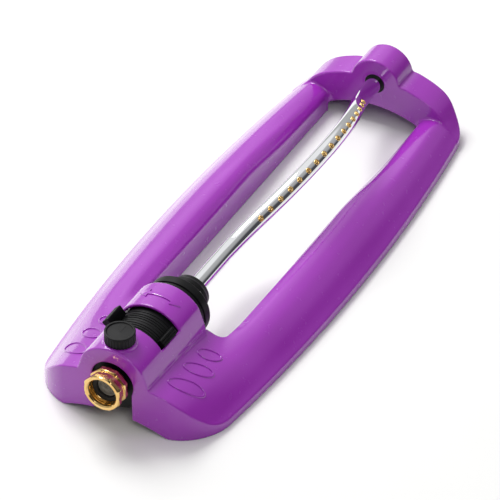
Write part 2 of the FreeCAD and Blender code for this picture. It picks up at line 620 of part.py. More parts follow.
screw_columns = around("screw_column", "2.6", d("motor_split"), "Dims.motor_rear - 4", 4, SCREW_RADIUS)
screw_holes = around("screw_hole", "1.4", "Dims.motor_split - 1", "Dims.motor_rear + 1", 4, SCREW_RADIUS)
housing_rear = cut("housing_rear_case", fused("rear_case_columns", [rear_case_plain] + screw_columns),
                   screw_holes)
screw_shanks = around("screw_shank", "1.35", "Dims.motor_split + 2", "Dims.motor_rear + 1", 4, SCREW_RADIUS)
screw_heads = around("screw_head", "2.7", d("motor_rear"), "Dims.motor_rear + 1.8", 4, SCREW_RADIUS)
screw_slots = [block(f"screw_slot_{i + 1}", ("0", "0", "0"), ("0.7", "1", "6")) for i in range(4)]
for i, slot in enumerate(screw_slots):
    angle = math.radians(45 + 90 * i)
    placed(slot, f"({SCREW_RADIUS}) * {math.cos(angle):.6f} - 0.35", "Dims.motor_rear + 1.1",
           AXIS + f" + ({SCREW_RADIUS}) * {math.sin(angle):.6f} - 3")
case_screws = cut("case_screws", fused("case_screws_plain", screw_shanks + screw_heads), screw_slots)

ARBOR_X = "Dims.gear_module * (Dims.wheel_teeth + Dims.pinion_teeth) / 2"
PLATE = "Dims.turbine_front + Dims.turbine_width + 2"
plate_disc = cylinder_y("plate_disc", "Dims.neck_radius - Dims.motor_wall", PLATE, PLATE + " + 3")
plate_shaft_hole = cylinder_y("plate_shaft_hole", "Dims.arbor_radius + Dims.fit_gap", PLATE + " - 1",
                              PLATE + " + 4")
plate_arbor_hole = cylinder_y("plate_arbor_hole", d("arbor_radius"), PLATE + " - 1", PLATE + " + 4",
                              x=ARBOR_X)
water_ports = around("water_port", "2.5", PLATE + " - 1", PLATE + " + 4", 3,
                     "Dims.neck_radius - Dims.motor_wall - 6", phase=90)
bearing_plate = cut("bearing_plate", plate_disc, [plate_shaft_hole, plate_arbor_hole] + water_ports)

STAGE = "(Dims.gear_face + 1)"
REAR_PLATE = f"Dims.train_front + 4 * {STAGE} + 6"
lay_arbor = cylinder_y("lay_arbor", d("arbor_radius"), PLATE, REAR_PLATE + " + 3", x=ARBOR_X)
rear_disc = cylinder_y("rear_disc", CAVITY, REAR_PLATE, REAR_PLATE + " + 3")
rear_disc_bore = cylinder_y("rear_disc_bore", "Dims.shaft_radius + Dims.slack", REAR_PLATE + " - 1",
                            REAR_PLATE + " + 4")
rear_disc_arbor = cylinder_y("rear_disc_arbor", d("arbor_radius"), REAR_PLATE + " - 1",
                             REAR_PLATE + " + 4", x=ARBOR_X)
disc_clearance = around("disc_clearance", "2.6", REAR_PLATE + " - 1", REAR_PLATE + " + 4", 4, SCREW_RADIUS)
gear_plate = cut("gear_plate", rear_disc, [rear_disc_bore, rear_disc_arbor] + disc_clearance)

SEAL = "Dims.motor_rear - 7.4"
shaft_seal = turned("shaft_seal", [
    (SEAL, "Dims.shaft_radius + Dims.fit_gap"), (SEAL, "Dims.shaft_radius + 2.2"),
    (SEAL + " + 2.4", "Dims.shaft_radius + 2.2"),
    (SEAL + " + 2.4", "Dims.shaft_radius + Dims.fit_gap")])

# Retaining strap under the motor, screwed up into the base.
strap_ring = cylinder_y("strap_ring", "Dims.motor_radius + Dims.strap_gauge",
                        "Dims.strap_y - Dims.strap_width / 2", "Dims.strap_y + Dims.strap_width / 2")
strap_ears = block("strap_ears", ("-1 * Dims.strap_screw_x - 5", "Dims.strap_y - Dims.strap_width / 2",
                                  "Dims.strap_seat - Dims.strap_gauge"),
                   ("Dims.strap_screw_x + 5", "Dims.strap_y + Dims.strap_width / 2", d("strap_seat")))
strap_inside = cylinder_y("strap_inside", d("motor_radius"), "Dims.strap_y - 20", "Dims.strap_y + 20")
strap_top = block("strap_top", ("-60", "Dims.strap_y - 20", d("strap_seat")),
                  ("60", "Dims.strap_y + 20", AXIS + " + 40"))
strap_holes = [cylinder_z(f"strap_hole_{name}", "Dims.strap_screw + 0.1",
                          "Dims.strap_seat - 3", "Dims.strap_seat + 1",
                          x=f"{side} * Dims.strap_screw_x", y=d("strap_y"))
               for name, side in (("left", -1), ("right", 1))]
retaining_strap = cut("retaining_strap", fused("strap_blank", [strap_ring, strap_ears]),
                      [strap_inside, strap_top] + strap_holes)
strap_shanks = [cylinder_z(f"strap_shank_{name}", d("strap_screw"),
                           "Dims.strap_seat - 2", "Dims.strap_seat + 3.5",
                           x=f"{side} * Dims.strap_screw_x", y=d("strap_y"))
                for name, side in (("left", -1), ("right", 1))]
strap_heads = [cylinder_z(f"strap_head_{name}", "2 * Dims.strap_screw",
                          "Dims.strap_seat - Dims.strap_gauge - 1.8", "Dims.strap_seat - Dims.strap_gauge",
                          x=f"{side} * Dims.strap_screw_x", y=d("strap_y"))
               for name, side in (("left", -1), ("right", 1))]
strap_screws = fused("strap_screws", strap_shanks + strap_heads)

# ---------------------------------------------------------------- flow valve
plug_barrel = cylinder_z("plug_barrel", d("valve_radius"), VALVE_FLOOR + " + Dims.slack",
                         AXIS + " + Dims.motor_radius - 8.2", y=d("valve_y"))
plug_stem = cylinder_z("plug_stem", d("stem_radius"), AXIS, "Dims.knob_top - 3", y=d("valve_y"))
plug_port = cylinder_y("plug_port", BORE_RADIUS, "Dims.valve_y - 20", "Dims.valve_y + 20")
valve_plug = cut("valve_plug", fused("plug_solid", [plug_barrel, plug_stem]), [plug_port])

KNOB_BOTTOM = "Dims.knob_top - Dims.knob_height"
knob_blank = cylinder_z("knob_blank", d("knob_radius"), KNOB_BOTTOM, d("knob_top"), y=d("valve_y"))
knob_dish = cylinder_z("knob_dish", "Dims.knob_radius - 1.9", "Dims.knob_top - 0.9", "Dims.knob_top + 1",
                       y=d("valve_y"))
knob_bore = cylinder_z("knob_bore", d("stem_radius"), KNOB_BOTTOM + " - 1", "Dims.knob_top - 3",
                       y=d("valve_y"))
flutes = []
FLUTES = 24
for i in range(FLUTES):
    angle = 2 * math.pi * i / FLUTES
    reach = f"(Dims.knob_radius + 0.35) * {math.cos(angle):.6f}"
    aside = f"Dims.valve_y + (Dims.knob_radius + 0.35) * {math.sin(angle):.6f}"
    flutes.append(cylinder_z(f"knob_flute_{i + 1}", "0.95", KNOB_BOTTOM + " - 1", "Dims.knob_top - 1.6",
                             x=reach, y=aside))
flow_knob = cut("flow_knob", knob_blank, [knob_dish, knob_bore] + flutes)

# ---------------------------------------------------------------- range rings
TAB_ANGLES = {"left": -46, "right": 50}     # degrees from upright, towards +X


def range_ring(side, start):
    """A ring on the neck of the housing, with a ribbed tab that comes out of the slot."""
    band = turned(f"band_{side}", [
        (start, "Dims.neck_radius + Dims.fit_gap"),
        (start, "Dims.motor_radius - 0.5"), (start + " + 0.8", d("motor_radius")),
        (start + " + Dims.ring_width - 0.8", d("motor_radius")),
        (start + " + Dims.ring_width", "Dims.motor_radius - 0.5"),
        (start + " + Dims.ring_width", "Dims.neck_radius + Dims.fit_gap")])
    grooves = []
    for i in range(3):
        groove_start = f"{start} + 2.2 + {2.6 * i:.1f}"
        grooves.append(turned(f"groove_{side}_{i + 1}", [
            (groove_start, "Dims.motor_radius - 0.6"), (groove_start, "Dims.motor_radius + 2"),
            (groove_start + " + 1.0", "Dims.motor_radius + 2"),
            (groove_start + " + 1.0", "Dims.motor_radius - 0.6")]))
    ribbed = cut(f"ribbed_{side}", band, grooves)
    end = start + " + Dims.ring_width"
    tab_start = start if side == "left" else end + " - Dims.tab_length"
    height = d("tab_height" if side == "left" else "low_tab_height")
    tab = doc.addObject("Part::Cylinder", f"tab_{side}")
    placed(tab, "0", tab_start, AXIS)
    bound(tab, {"Radius": "Dims.motor_radius + " + height, "Height": d("tab_length"),
                "Angle": "2 * Dims.tab_half_angle"})
    tab.Placement.Rotation = ALONG_Y.multiply(
        Rotation(Vector(0, 0, 1), TAB_ANGLES[side] - 90 - size("tab_half_angle")))
    core = cylinder_y(f"tab_core_{side}", "Dims.neck_radius + 0.8", start + " - 1", end + " + 1")
    bridged = (end, tab_start + " + Dims.tab_length + 1") if side == "left" else (tab_start + " - 1", start)
    over_other = cylinder_y(f"tab_bridge_{side}", "Dims.motor_radius + 2 * Dims.slack", *bridged)
    ribs = []
    for i in range(3):
        tilt = math.radians(TAB_ANGLES[side] + (i - 1) * 3.6)
        reach = f"(Dims.motor_radius + {height} + 0.3)"
        ribs.append(cylinder_y(f"tab_rib_{side}_{i + 1}", "0.7", tab_start + " - 1",
                               tab_start + " + Dims.tab_length + 1", x=f"{reach} * {math.sin(tilt):.6f}",
                               z=AXIS + f" + {reach} * {math.cos(tilt):.6f}"))
    tab_shape = cut(f"tab_shape_{side}", tab, [core, over_other] + ribs)
    return fused(f"range_ring_{side}", [ribbed, tab_shape])


ring_left = range_ring("left", RING_A)
ring_right = range_ring("right", RING_B)


# ---------------------------------------------------------------- turbine and gears
def gear_solid(teeth, bore, face, first_tooth):
    """A spur gear lying along +Z, with a tooth centred at first_tooth degrees."""
    module = size("gear_module")
    pitch_radius = module * teeth / 2
    base_radius = pitch_radius * math.cos(math.radians(20))
    tip, root = pitch_radius + size("tip_height") * module, pitch_radius - 1.15 * module
    backlash = 0.10

    def involute(radius):
        pressure = math.acos(min(1, base_radius / radius))
        return math.tan(pressure) - pressure

    half_tooth = math.pi / (2 * teeth) - backlash / (2 * pitch_radius) + involute(pitch_radius)
    flank = [(r, half_tooth - involute(max(r, base_radius)))
             for r in (root, max(base_radius, root + 0.1), pitch_radius, (pitch_radius + tip) / 2, tip)]
    loop = []
    for i in range(teeth):
        centre = math.radians(first_tooth) + 2 * math.pi * i / teeth
        loop += [(r, centre - a) for r, a in flank] + [(r, centre + a) for r, a in reversed(flank)]
    points = [Vector(r * math.cos(a), r * math.sin(a), 0) for r, a in loop]
    blank = Part.Face(Part.makePolygon(points + points[:1])).extrude(Vector(0, 0, face))
    if bore > 0:
        blank = blank.cut(Part.makeCylinder(bore, face + 2, Vector(0, 0, -1)))
    return blank


def along_y(solid, x, y):
    """A solid that lies along +Z from 0, laid along +Y from y. Its local angles run from +X to -Z."""
    laid = solid.copy()
    laid.Placement = Placement(Vector(x, y, size("axis_height")), ALONG_Y)
    return laid


WHEEL, PINION = int(size("wheel_teeth")), int(size("pinion_teeth"))
face, module = size("gear_face"), size("gear_module")
step_y = face + 1
arbor_x = module * (WHEEL + PINION) / 2
train = size("train_front")
on_shaft = size("arbor_radius") + size("fit_gap")


def compound_gear(x, y, wheel_tooth, pinion_tooth):
    """A wheel with a pinion behind it, in one piece."""
    wheel = along_y(gear_solid(WHEEL, on_shaft, face, wheel_tooth), x, y)
    pinion = along_y(gear_solid(PINION, on_shaft, step_y + face, pinion_tooth), x, y)
    return wheel.fuse(pinion)


# Towards the arbor is 0 degrees, and towards the main axis is 180 degrees. Each pinion points a tooth at
# its wheel, and the wheel turns a gap to it.
half_pitch = 180 / WHEEL
turbine_pinion = along_y(gear_solid(PINION, 0, face, 0), 0, train)
gear_1 = own_shape("gear_1", compound_gear(arbor_x, train, 180 + half_pitch, 180))
gear_2 = own_shape("gear_2", compound_gear(0, train + step_y, half_pitch, 0))
gear_3 = own_shape("gear_3", compound_gear(arbor_x, train + 2 * step_y, 180 + half_pitch, 180))
output_wheel = along_y(gear_solid(WHEEL, 0, face, half_pitch), 0, train + 3 * step_y)

turbine_front = size("turbine_front")
turbine_hub = Part.makeCylinder(4, size("turbine_width"), Vector(0, 0, 0))
VANES = 10
vane_reach = size("turbine_radius")
vanes = []
for i in range(VANES):
    vane = Part.makeBox(vane_reach - 3, 1.1, size("turbine_width") - 1.2, Vector(3, -0.55, 1.2))
    vane.rotate(Vector(3, 0, 0), Vector(0, 0, 1), 18)
    vane.rotate(Vector(0, 0, 0), Vector(0, 0, 1), 360 / VANES * i)
    vanes.append(vane)
web = Part.makeCylinder(vane_reach, 1.2)
wheel_blank = turbine_hub.multiFuse(vanes + [web])
wheel_blank = wheel_blank.cut(Part.makeCylinder(size("arbor_radius"), 20, Vector(0, 0, -1)))
turbine_wheel = own_shape("turbine_wheel", along_y(wheel_blank, 0, turbine_front))
shaft_end = train + 3 * step_y - 0.5
turbine_rod = Part.makeCylinder(size("arbor_radius"), shaft_end - turbine_front, Vector(0, 0, 0))
turbine_shaft = own_shape("turbine_shaft",
                          along_y(turbine_rod, 0, turbine_front).fuse(turbine_pinion))

# ---------------------------------------------------------------- output shaft and spray tube
# These are modelled with the bow upright, and turned to the rest swing at the end.
TUBE_FRONT = "Dims.motor_rear + 7"
OUTPUT_END = TUBE_FRONT + " - 0.5"
output_rear = value_of(OUTPUT_END)
wheel_back = train + 3 * step_y + face
shaft_outer = turned("output_barrel", [
    (f"{wheel_back}", "0"), (f"{wheel_back}", "Dims.shaft_radius - 1"),
    (REAR_PLATE + " - 0.6", "Dims.shaft_radius - 1"), (REAR_PLATE + " - 0.6", d("shaft_radius")),
    (OUTPUT_END, d("shaft_radius")), (OUTPUT_END, d("shaft_bore")),
    (REAR_PLATE + " + 6", d("shaft_bore")), (REAR_PLATE + " + 6", "0")])
inlets = [cylinder_z("shaft_inlet", "2.6", AXIS + " - 20", AXIS + " + 20", y=REAR_PLATE + " + 11")]
output_wheel_obj = own_shape("output_wheel", output_wheel)
output_shaft = cut("output_shaft", fused("output_blank", [shaft_outer, output_wheel_obj]), inlets)

COLLAR_FRONT = "Dims.motor_rear + 1.2 + 1.2"
tube_collar = turned("tube_collar", [
    (COLLAR_FRONT, d("shaft_radius")), (COLLAR_FRONT, "Dims.collar_radius - 1"),
    (COLLAR_FRONT + " + 1", d("collar_radius")), ("Dims.collar_rear - 9", d("collar_radius")),
    ("Dims.collar_rear - 7", "Dims.collar_radius - 0.8"),
    ("Dims.collar_rear - 2.5", "Dims.collar_radius - 1.8"),
    (d("collar_rear"), "Dims.collar_radius - 5"), (d("collar_rear"), d("tube_radius")),
    (TUBE_FRONT, d("tube_radius")), (TUBE_FRONT, "Dims.tube_radius - 1.4"),
    (OUTPUT_END, "Dims.tube_radius - 1.4"), (OUTPUT_END, d("shaft_radius"))])


def tube_route():
    """The tube's centre line in the upright plane: straight, bend out, bow, bend back, straight."""
    z = size("axis_height")
    angle = math.radians(size("bow_angle"))
    bend = size("bend_radius")
    start = size("bow_start")
    finish = size("opening_rear") - 2
    bow = (finish - start) / (2 * math.sin(angle)) - bend
    middle = (start + finish) / 2
    rise = (bend + bow) * (1 - math.cos(angle))
    bend_end = Vector(0, start + bend * math.sin(angle), z + bend * (1 - math.cos(angle)))
    bend_mid = Vector(0, start + bend * math.sin(angle / 2), z + bend * (1 - math.cos(angle / 2)))
    mirrored = [Vector(0, 2 * middle - p.y, p.z) for p in (bend_end, bend_mid)]
    first = Vector(0, value_of(TUBE_FRONT), z)
    last = Vector(0, size("opening_rear") + size("bush_length") + 3, z)
    lines = [Part.LineSegment(first, Vector(0, start, z)),
             Part.Arc(Vector(0, start, z), bend_mid, bend_end),
             Part.Arc(bend_end, Vector(0, middle, z + rise), mirrored[0]),
             Part.Arc(mirrored[0], mirrored[1], Vector(0, finish, z)),
             Part.LineSegment(Vector(0, finish, z), last)]
    return Part.Wire([line.toShape() for line in lines])


def pipe(route, radius):
    """A solid round bar along the route."""
    start = route.Vertexes[0].Point
    circle = Part.Wire(Part.makeCircle(radius, start, Vector(0, 1, 0)))
    return route.makePipeShell([circle], True, True)


route = tube_route()
tube_outer = pipe(route, size("tube_radius"))
tube_inner = pipe(route, size("tube_radius") - size("tube_wall"))


def nozzle_places():
    """The point on the centre line and the outward direction of each nozzle."""
    along = size("nozzle_start") + size("bow_start") - route.Vertexes[0].Point.y
    places = []
    for i in range(int(size("nozzle_count"))):
        remaining = along + i * size("nozzle_pitch")
        for edge in route.Edges:
            if remaining <= edge.Length:
                parameter = edge.getParameterByLength(remaining)
                tangent = edge.tangentAt(parameter)
                tangent = tangent if tangent.y > 0 else tangent * -1
                places.append((edge.valueAt(parameter), Vector(1, 0, 0).cross(tangent)))
                break
            remaining -= edge.Length
    return places


nozzle_solids, nozzle_bores = [], []
for point, outward in nozzle_places():
    radius = size("tube_radius")
    flange = Part.makeCylinder(size("nozzle_flange"), 2.2, point + outward * (radius - 1.2), outward)
    stem = Part.makeCylinder(1.8, 3, point + outward * (radius - 2.2), outward)
    bore = Part.makeCylinder(0.55, 8, point + outward * (radius - 4), outward)
    nozzle_solids.append(flange.cut(tube_outer).fuse(stem).cut(bore))
    nozzle_bores.append(Part.makeCylinder(1.8, 8, point + outward * (radius - 4), outward))
tube_solid = tube_outer.cut(tube_inner).cut(Part.makeCompound(nozzle_bores))
spray_tube = own_shape("spray_tube", tube_solid)
spray_nozzles = own_shape("spray_nozzles", Part.makeCompound(nozzle_solids))

TUBE_END = "Dims.opening_rear + Dims.bush_length + 3"
TUBE_BORE = "Dims.tube_radius - Dims.tube_wall"
tube_plug = turned("tube_plug", [
    (TUBE_END + " - 7", "0"), (TUBE_END + " - 7", TUBE_BORE), (TUBE_END + " - 5", TUBE_BORE),
    (TUBE_END + " - 5", TUBE_BORE + " - 1.2"), (TUBE_END + " - 3", TUBE_BORE + " - 1.2"),
    (TUBE_END + " - 3", TUBE_BORE), (TUBE_END, TUBE_BORE),
    (TUBE_END, "Dims.tube_radius + 1.5"), (TUBE_END + " + 2", "Dims.tube_radius + 1.5"),
    (TUBE_END + " + 2", "0")])
plug_ring = turned("plug_ring", [
    (TUBE_END + " - 5", TUBE_BORE + " - 1.2"), (TUBE_END + " - 5", TUBE_BORE),
    (TUBE_END + " - 3", TUBE_BORE), (TUBE_END + " - 3", TUBE_BORE + " - 1.2")])
pivot_bush = turned("pivot_bush", [
    ("Dims.opening_rear - 0.8", "Dims.tube_radius + Dims.fit_gap"),
    ("Dims.opening_rear - 0.8", "Dims.bush_radius + 0.9"), (d("opening_rear"), "Dims.bush_radius + 0.9"),
    (d("opening_rear"), d("bush_radius")),
    ("Dims.opening_rear + Dims.bush_length", d("bush_radius")),
    ("Dims.opening_rear + Dims.bush_length", "Dims.tube_radius + Dims.fit_gap")])

# ---------------------------------------------------------------- names, checks and export
NODES = {
    "base_frame": base_frame, "inlet_tailpiece": tailpiece, "hose_washer": washer,
    "inlet_filter": inlet_filter, "swivel_nut": swivel_nut, "housing_front": housing_front,
    "housing_rear": housing_rear, "case_screws": case_screws, "bearing_plate": bearing_plate,
    "gear_plate": gear_plate, "lay_arbor": lay_arbor, "shaft_seal": shaft_seal,
    "retaining_strap": retaining_strap, "strap_screws": strap_screws, "valve_plug": valve_plug,
    "flow_knob": flow_knob, "range_ring_left": ring_left, "range_ring_right": ring_right,
    "turbine_wheel": turbine_wheel, "turbine_shaft": turbine_shaft, "gear_1": gear_1,
    "gear_2": gear_2, "gear_3": gear_3, "output_shaft": output_shaft, "tube_collar": tube_collar,
    "spray_tube": spray_tube, "spray_nozzles": spray_nozzles, "tube_plug": tube_plug,
    "plug_ring": plug_ring, "pivot_bush": pivot_bush,
}
SWINGING = ("tube_collar", "spray_tube", "spray_nozzles", "tube_plug", "plug_ring")
for label, obj in NODES.items():
    obj.Label = label
doc.recompute()
swing = Placement(Vector(0, 0, 0), Rotation(Vector(0, 1, 0), size("swing_rest")),
                  Vector(0, 0, size("axis_height")))
for label in SWINGING:
    obj = NODES[label]
    obj.setExpression("Placement.Base.z", None)
    obj.Placement = swing.multiply(obj.Placement)
doc.recompute()

for obj in doc.Objects:
    if "Invalid" in obj.State or "Error" in obj.State:
        raise RuntimeError(f"{obj.Name} failed: {obj.State}")
for label, obj in NODES.items():
    shape = obj.Shape
    if shape.isNull() or not shape.isValid() or not shape.Solids:
        raise RuntimeError(f"{label} has no valid solid")

os.makedirs("parts", exist_ok=True)
to_origin = Vector(0, -(size("base_length") + size("nut_front")) / 2, 0)
for label, obj in NODES.items():
    piece = obj.Shape.copy()
    piece.translate(to_origin)
    piece.exportStep(f"parts/{label}.step")
    box = piece.BoundBox
    print(f"{label:18s} solids {len(obj.Shape.Solids):2d}  volume {obj.Shape.Volume:10.1f}  "
          f"x {box.XMin:7.1f} {box.XMax:7.1f}  y {box.YMin:7.1f} {box.YMax:7.1f}  "
          f"z {box.ZMin:6.1f} {box.ZMax:6.1f}")
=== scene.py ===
import json
import math

import bpy
import numpy as np
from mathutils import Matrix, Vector


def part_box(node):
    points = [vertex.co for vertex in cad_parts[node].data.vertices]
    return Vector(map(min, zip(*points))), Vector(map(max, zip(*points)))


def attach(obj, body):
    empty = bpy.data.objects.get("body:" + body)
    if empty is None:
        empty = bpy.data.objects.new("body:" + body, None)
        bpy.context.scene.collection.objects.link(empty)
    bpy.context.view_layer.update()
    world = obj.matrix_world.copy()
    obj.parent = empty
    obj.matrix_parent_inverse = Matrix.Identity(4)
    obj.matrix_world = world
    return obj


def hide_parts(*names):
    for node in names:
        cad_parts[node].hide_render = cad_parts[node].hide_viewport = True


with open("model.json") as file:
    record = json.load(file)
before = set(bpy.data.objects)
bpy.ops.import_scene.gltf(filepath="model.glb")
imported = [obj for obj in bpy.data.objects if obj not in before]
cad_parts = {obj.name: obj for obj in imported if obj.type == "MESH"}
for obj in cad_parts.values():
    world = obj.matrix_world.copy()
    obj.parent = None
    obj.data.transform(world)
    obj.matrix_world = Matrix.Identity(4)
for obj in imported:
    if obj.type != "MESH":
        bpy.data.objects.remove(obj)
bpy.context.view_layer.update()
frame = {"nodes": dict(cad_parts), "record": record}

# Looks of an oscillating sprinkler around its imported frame. Shapes are worked out in millimetres in the
# part's own frame (X right, Y from the front wall to the rear, Z up) and placed in metres.
MM = 0.001
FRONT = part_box("base_frame")[0].y      # the front wall's Y in the frame, in metres

# ---------------------------------------------------------------- sizes, in millimetres
LENGTH = 512
HALF_WIDTH, END_HALF_WIDTH = 99, 86.5
LIP = 6
WALL = 2.8
SIDE_FRONT, SIDE_REAR = 38, 42      # from the front and rear walls to the ends of the side arcs
FRONT_BULGE, FRONT_REACH = 5.5, 64  # how far the front wall curves back, and at what half width
REAR_BULGE, REAR_REACH = 2, 82
FRONT_CORNER, REAR_CORNER = 34, 26
OPENING_FRONT, OPENING_REAR, OPENING_HALF, OPENING_CORNER = 107, 482, 46.5, 8
AXIS = 44.7
TUNNEL, TUNNEL_LENGTH, TUNNEL_FOOT = 33.6, 100, 34.5
SLOT_FRONT, SLOT_REAR, SLOT_ANGLE = 36, 66, math.radians(57)
HUMP = 24.3
ARCH, FOOT_ARCH, REAR_ARCH = 105, 12, 20        # radius of both arches, and the height of each
FRONT_HOLE, INLET_WAY, BUSH = 19.5, 18, 8.7      # the way from the front hole down to the arch, half width
SEAT_RIM, SEAT_LEVEL, SEAT_HALF = 1.2, 75, 2.8  # pad under the flow knob
BOSS_WALL, BOSS_MIDDLE, BOSS_HALF = 2.8, 489.7, 7.5     # boss round the rear bush
STRAP_X, STRAP_Y, POST, POST_LEVEL, POST_HALF = 39, 84, 4, 33.2, 2.3
SHARES = [0, 0.30, 0.46, 0.52, 0.60, 0.72, 0.84, 0.93, 1.0]
PLATFORM_ROWS = [(-0.08, [1.00, 0.976, 0.924, 0.892, 0.840, 0.690, 0.446, 0.230]),
                 (0.47, [0.98, 0.930, 0.840, 0.800, 0.744, 0.620, 0.420, 0.230]),
                 (0.97, [0.86, 0.780, 0.680, 0.646, 0.626, 0.556, 0.400, 0.236])]
RAIL_ROWS = [(0.09, [0.90, 0.85, 0.82, 0.88, 0.970, 0.894, 0.650, 0.370]),
             (0.30, [0.60, 0.63, 0.76, 0.90, 0.990, 0.905, 0.670, 0.385]),
             (0.55, [0.50, 0.55, 0.73, 0.91, 1.000, 0.909, 0.676, 0.388]),
             (0.80, [0.20, 0.26, 0.44, 0.60, 0.780, 0.810, 0.620, 0.374]),
             (1.10, [0.20, 0.22, 0.34, 0.455, 0.621, 0.721, 0.576, 0.358])]
PLATFORM_HEIGHT, RAIL_HEIGHT, REAR_HEIGHT = 50, 33, 49
REAR_PROFILE = [(0, 1.0), (27, 0.984), (40, 0.914), (54, 0.784), (64, 0.624), (71, 0.439), (78, 0.255),
                (86, 0.122), (99, -0.11)]
SWING = math.radians(41)
KNOB_RADIUS, KNOB_TOP, KNOB_HEIGHT, KNOB_Y, STEM = 13.2, 88.5, 10.4, 15.5, 3.2


# ---------------------------------------------------------------- meshes
def make(name, points, faces, body, material, replaces=(), weighted=True):
    """A smooth mesh from millimetre points, with its body, slot, finish and the CAD nodes it stands for."""
    mesh = bpy.data.meshes.new(name)
    placed = np.asarray(points, float) * MM + [0, FRONT, 0]
    mesh.from_pydata(placed.tolist(), [], [list(map(int, f)) for f in faces])
    mesh.validate()
    mesh.shade_smooth()
    obj = bpy.data.objects.new(name, mesh)
    bpy.context.scene.collection.objects.link(obj)
    mesh.materials.append(material)
    if weighted:
        obj.modifiers.new("flat_faces_stay_flat", "WEIGHTED_NORMAL")
    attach(obj, body)
    if replaces:
        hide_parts(*replaces)
    return obj


def ring_faces(rows, columns, wrap_rows=True, wrap_columns=True):
    """Quads of a grid of rows and columns, closed round either way."""
    faces = []
    for i in range(rows if wrap_rows else rows - 1):
        for j in range(columns if wrap_columns else columns - 1):
            i2, j2 = (i + 1) % rows, (j + 1) % columns
            faces.append((i * columns + j, i * columns + j2, i2 * columns + j2, i2 * columns + j))
    return faces


def rounded(corners, steps=4):
    """A closed outline of (a, b, radius) corners, with each corner turned on an arc of its radius."""
    points = []
    for i, (a, b, radius) in enumerate(corners):
        here = np.array([a, b], float)
        before = np.array(corners[i - 1][:2], float) - here
        after = np.array(corners[(i + 1) % len(corners)][:2], float) - here
        if radius <= 0:
            points.append(here)
            continue
        reach_before, reach_after = np.linalg.norm(before), np.linalg.norm(after)
        before, after = before / reach_before, after / reach_after
        half = math.acos(np.clip(before @ after, -1, 1)) / 2
        reach = min(radius / math.tan(half), 0.49 * reach_before, 0.49 * reach_after)
        radius = reach * math.tan(half)
        centre = here + (before + after) / np.linalg.norm(before + after) * radius / math.sin(half)
        start, end = here + before * reach - centre, here + after * reach - centre
        turn = math.atan2(start[0] * end[1] - start[1] * end[0], start @ end)
        for k in range(steps + 1):
            angle = turn * k / steps
            c, s = math.cos(angle), math.sin(angle)
            points.append(centre + [c * start[0] - s * start[1], s * start[0] + c * start[1]])
    return np.array(points)


def about_axis(along, radius, angle):
    """A point round the swing axis; the angle runs from upright towards +X."""
    return (radius * math.sin(angle), along, AXIS + radius * math.cos(angle))


def lathe(name, corners, body, material, replaces=(), segments=128, place=about_axis, shape=None):
    """A closed outline of (along, radius, rounding) corners, turned about an axis."""
    outline = rounded(corners)
    angles = [2 * math.pi * j / segments for j in range(segments)]
    points = [place(a, shape(a, r, t) if shape else r, t) for a, r in outline for t in angles]
    return make(name, points, ring_faces(len(outline), segments), body, material, replaces)


# ---------------------------------------------------------------- base casting
def smooth_max(a, b, radius):
    """Rounded intersection of two distance fields."""
    outside = np.hypot(np.maximum(a + radius, 0), np.maximum(b + radius, 0))
    return np.minimum(np.maximum(a, b), -radius) + outside


def smooth_min(a, b, radius):
    """Union of two distance fields with a fillet."""
    return -smooth_max(-a, -b, radius)


def through(xs, values, x):
    """A cubic curve through the values that doesn't overshoot."""
    xs, values = np.asarray(xs, float), np.asarray(values, float)
    slopes = np.diff(values, axis=0) / np.diff(xs).reshape((-1,) + (1,) * (values.ndim - 1))
    product = slopes[:-1] * slopes[1:]
    total = slopes[:-1] + slopes[1:]
    middle = np.where(product > 0, 2 * product / np.where(total == 0, 1, total), 0)
    tangents = np.concatenate([slopes[:1], middle, slopes[-1:]])
    i = np.clip(np.searchsorted(xs, x, side="right") - 1, 0, len(xs) - 2)
    step = xs[i + 1] - xs[i]
    t = (x - xs[i]) / step
    if values.ndim > 1:
        step, t = step[:, None], t[:, None]
    rise = values[i + 1] - values[i]
    m0, m1 = tangents[i] * step, tangents[i + 1] * step
    return values[i] + t * (m0 + t * (3 * rise - 2 * m0 - m1 + t * (m0 + m1 - 2 * rise)))


def half_width(y):
    """Half width of the base at y."""
    reach = HALF_WIDTH - END_HALF_WIDTH
    half_length = (LENGTH - SIDE_FRONT - SIDE_REAR) / 2
    radius = (half_length ** 2 + reach ** 2) / (2 * reach)
    return HALF_WIDTH - radius + np.sqrt(radius ** 2 - (y - SIDE_FRONT - half_length) ** 2)


def blurred(grid, reach, axis):
    """The grid smoothed along one axis with a window that reaches so many cells each way."""
    kernel = np.hanning(2 * reach + 3)[1:-1]
    kernel /= kernel.sum()
    pad = [(0, 0), (0, 0)]
    pad[axis] = (reach, reach)
    wide = np.pad(grid, pad, mode="reflect", reflect_type="odd")
    return np.apply_along_axis(np.convolve, axis, wide, kernel, "valid")


GRID_STEP = 0.5
GRID_X = np.arange(0, 106, GRID_STEP)
GRID_Y = np.arange(-6, 518.5, GRID_STEP)


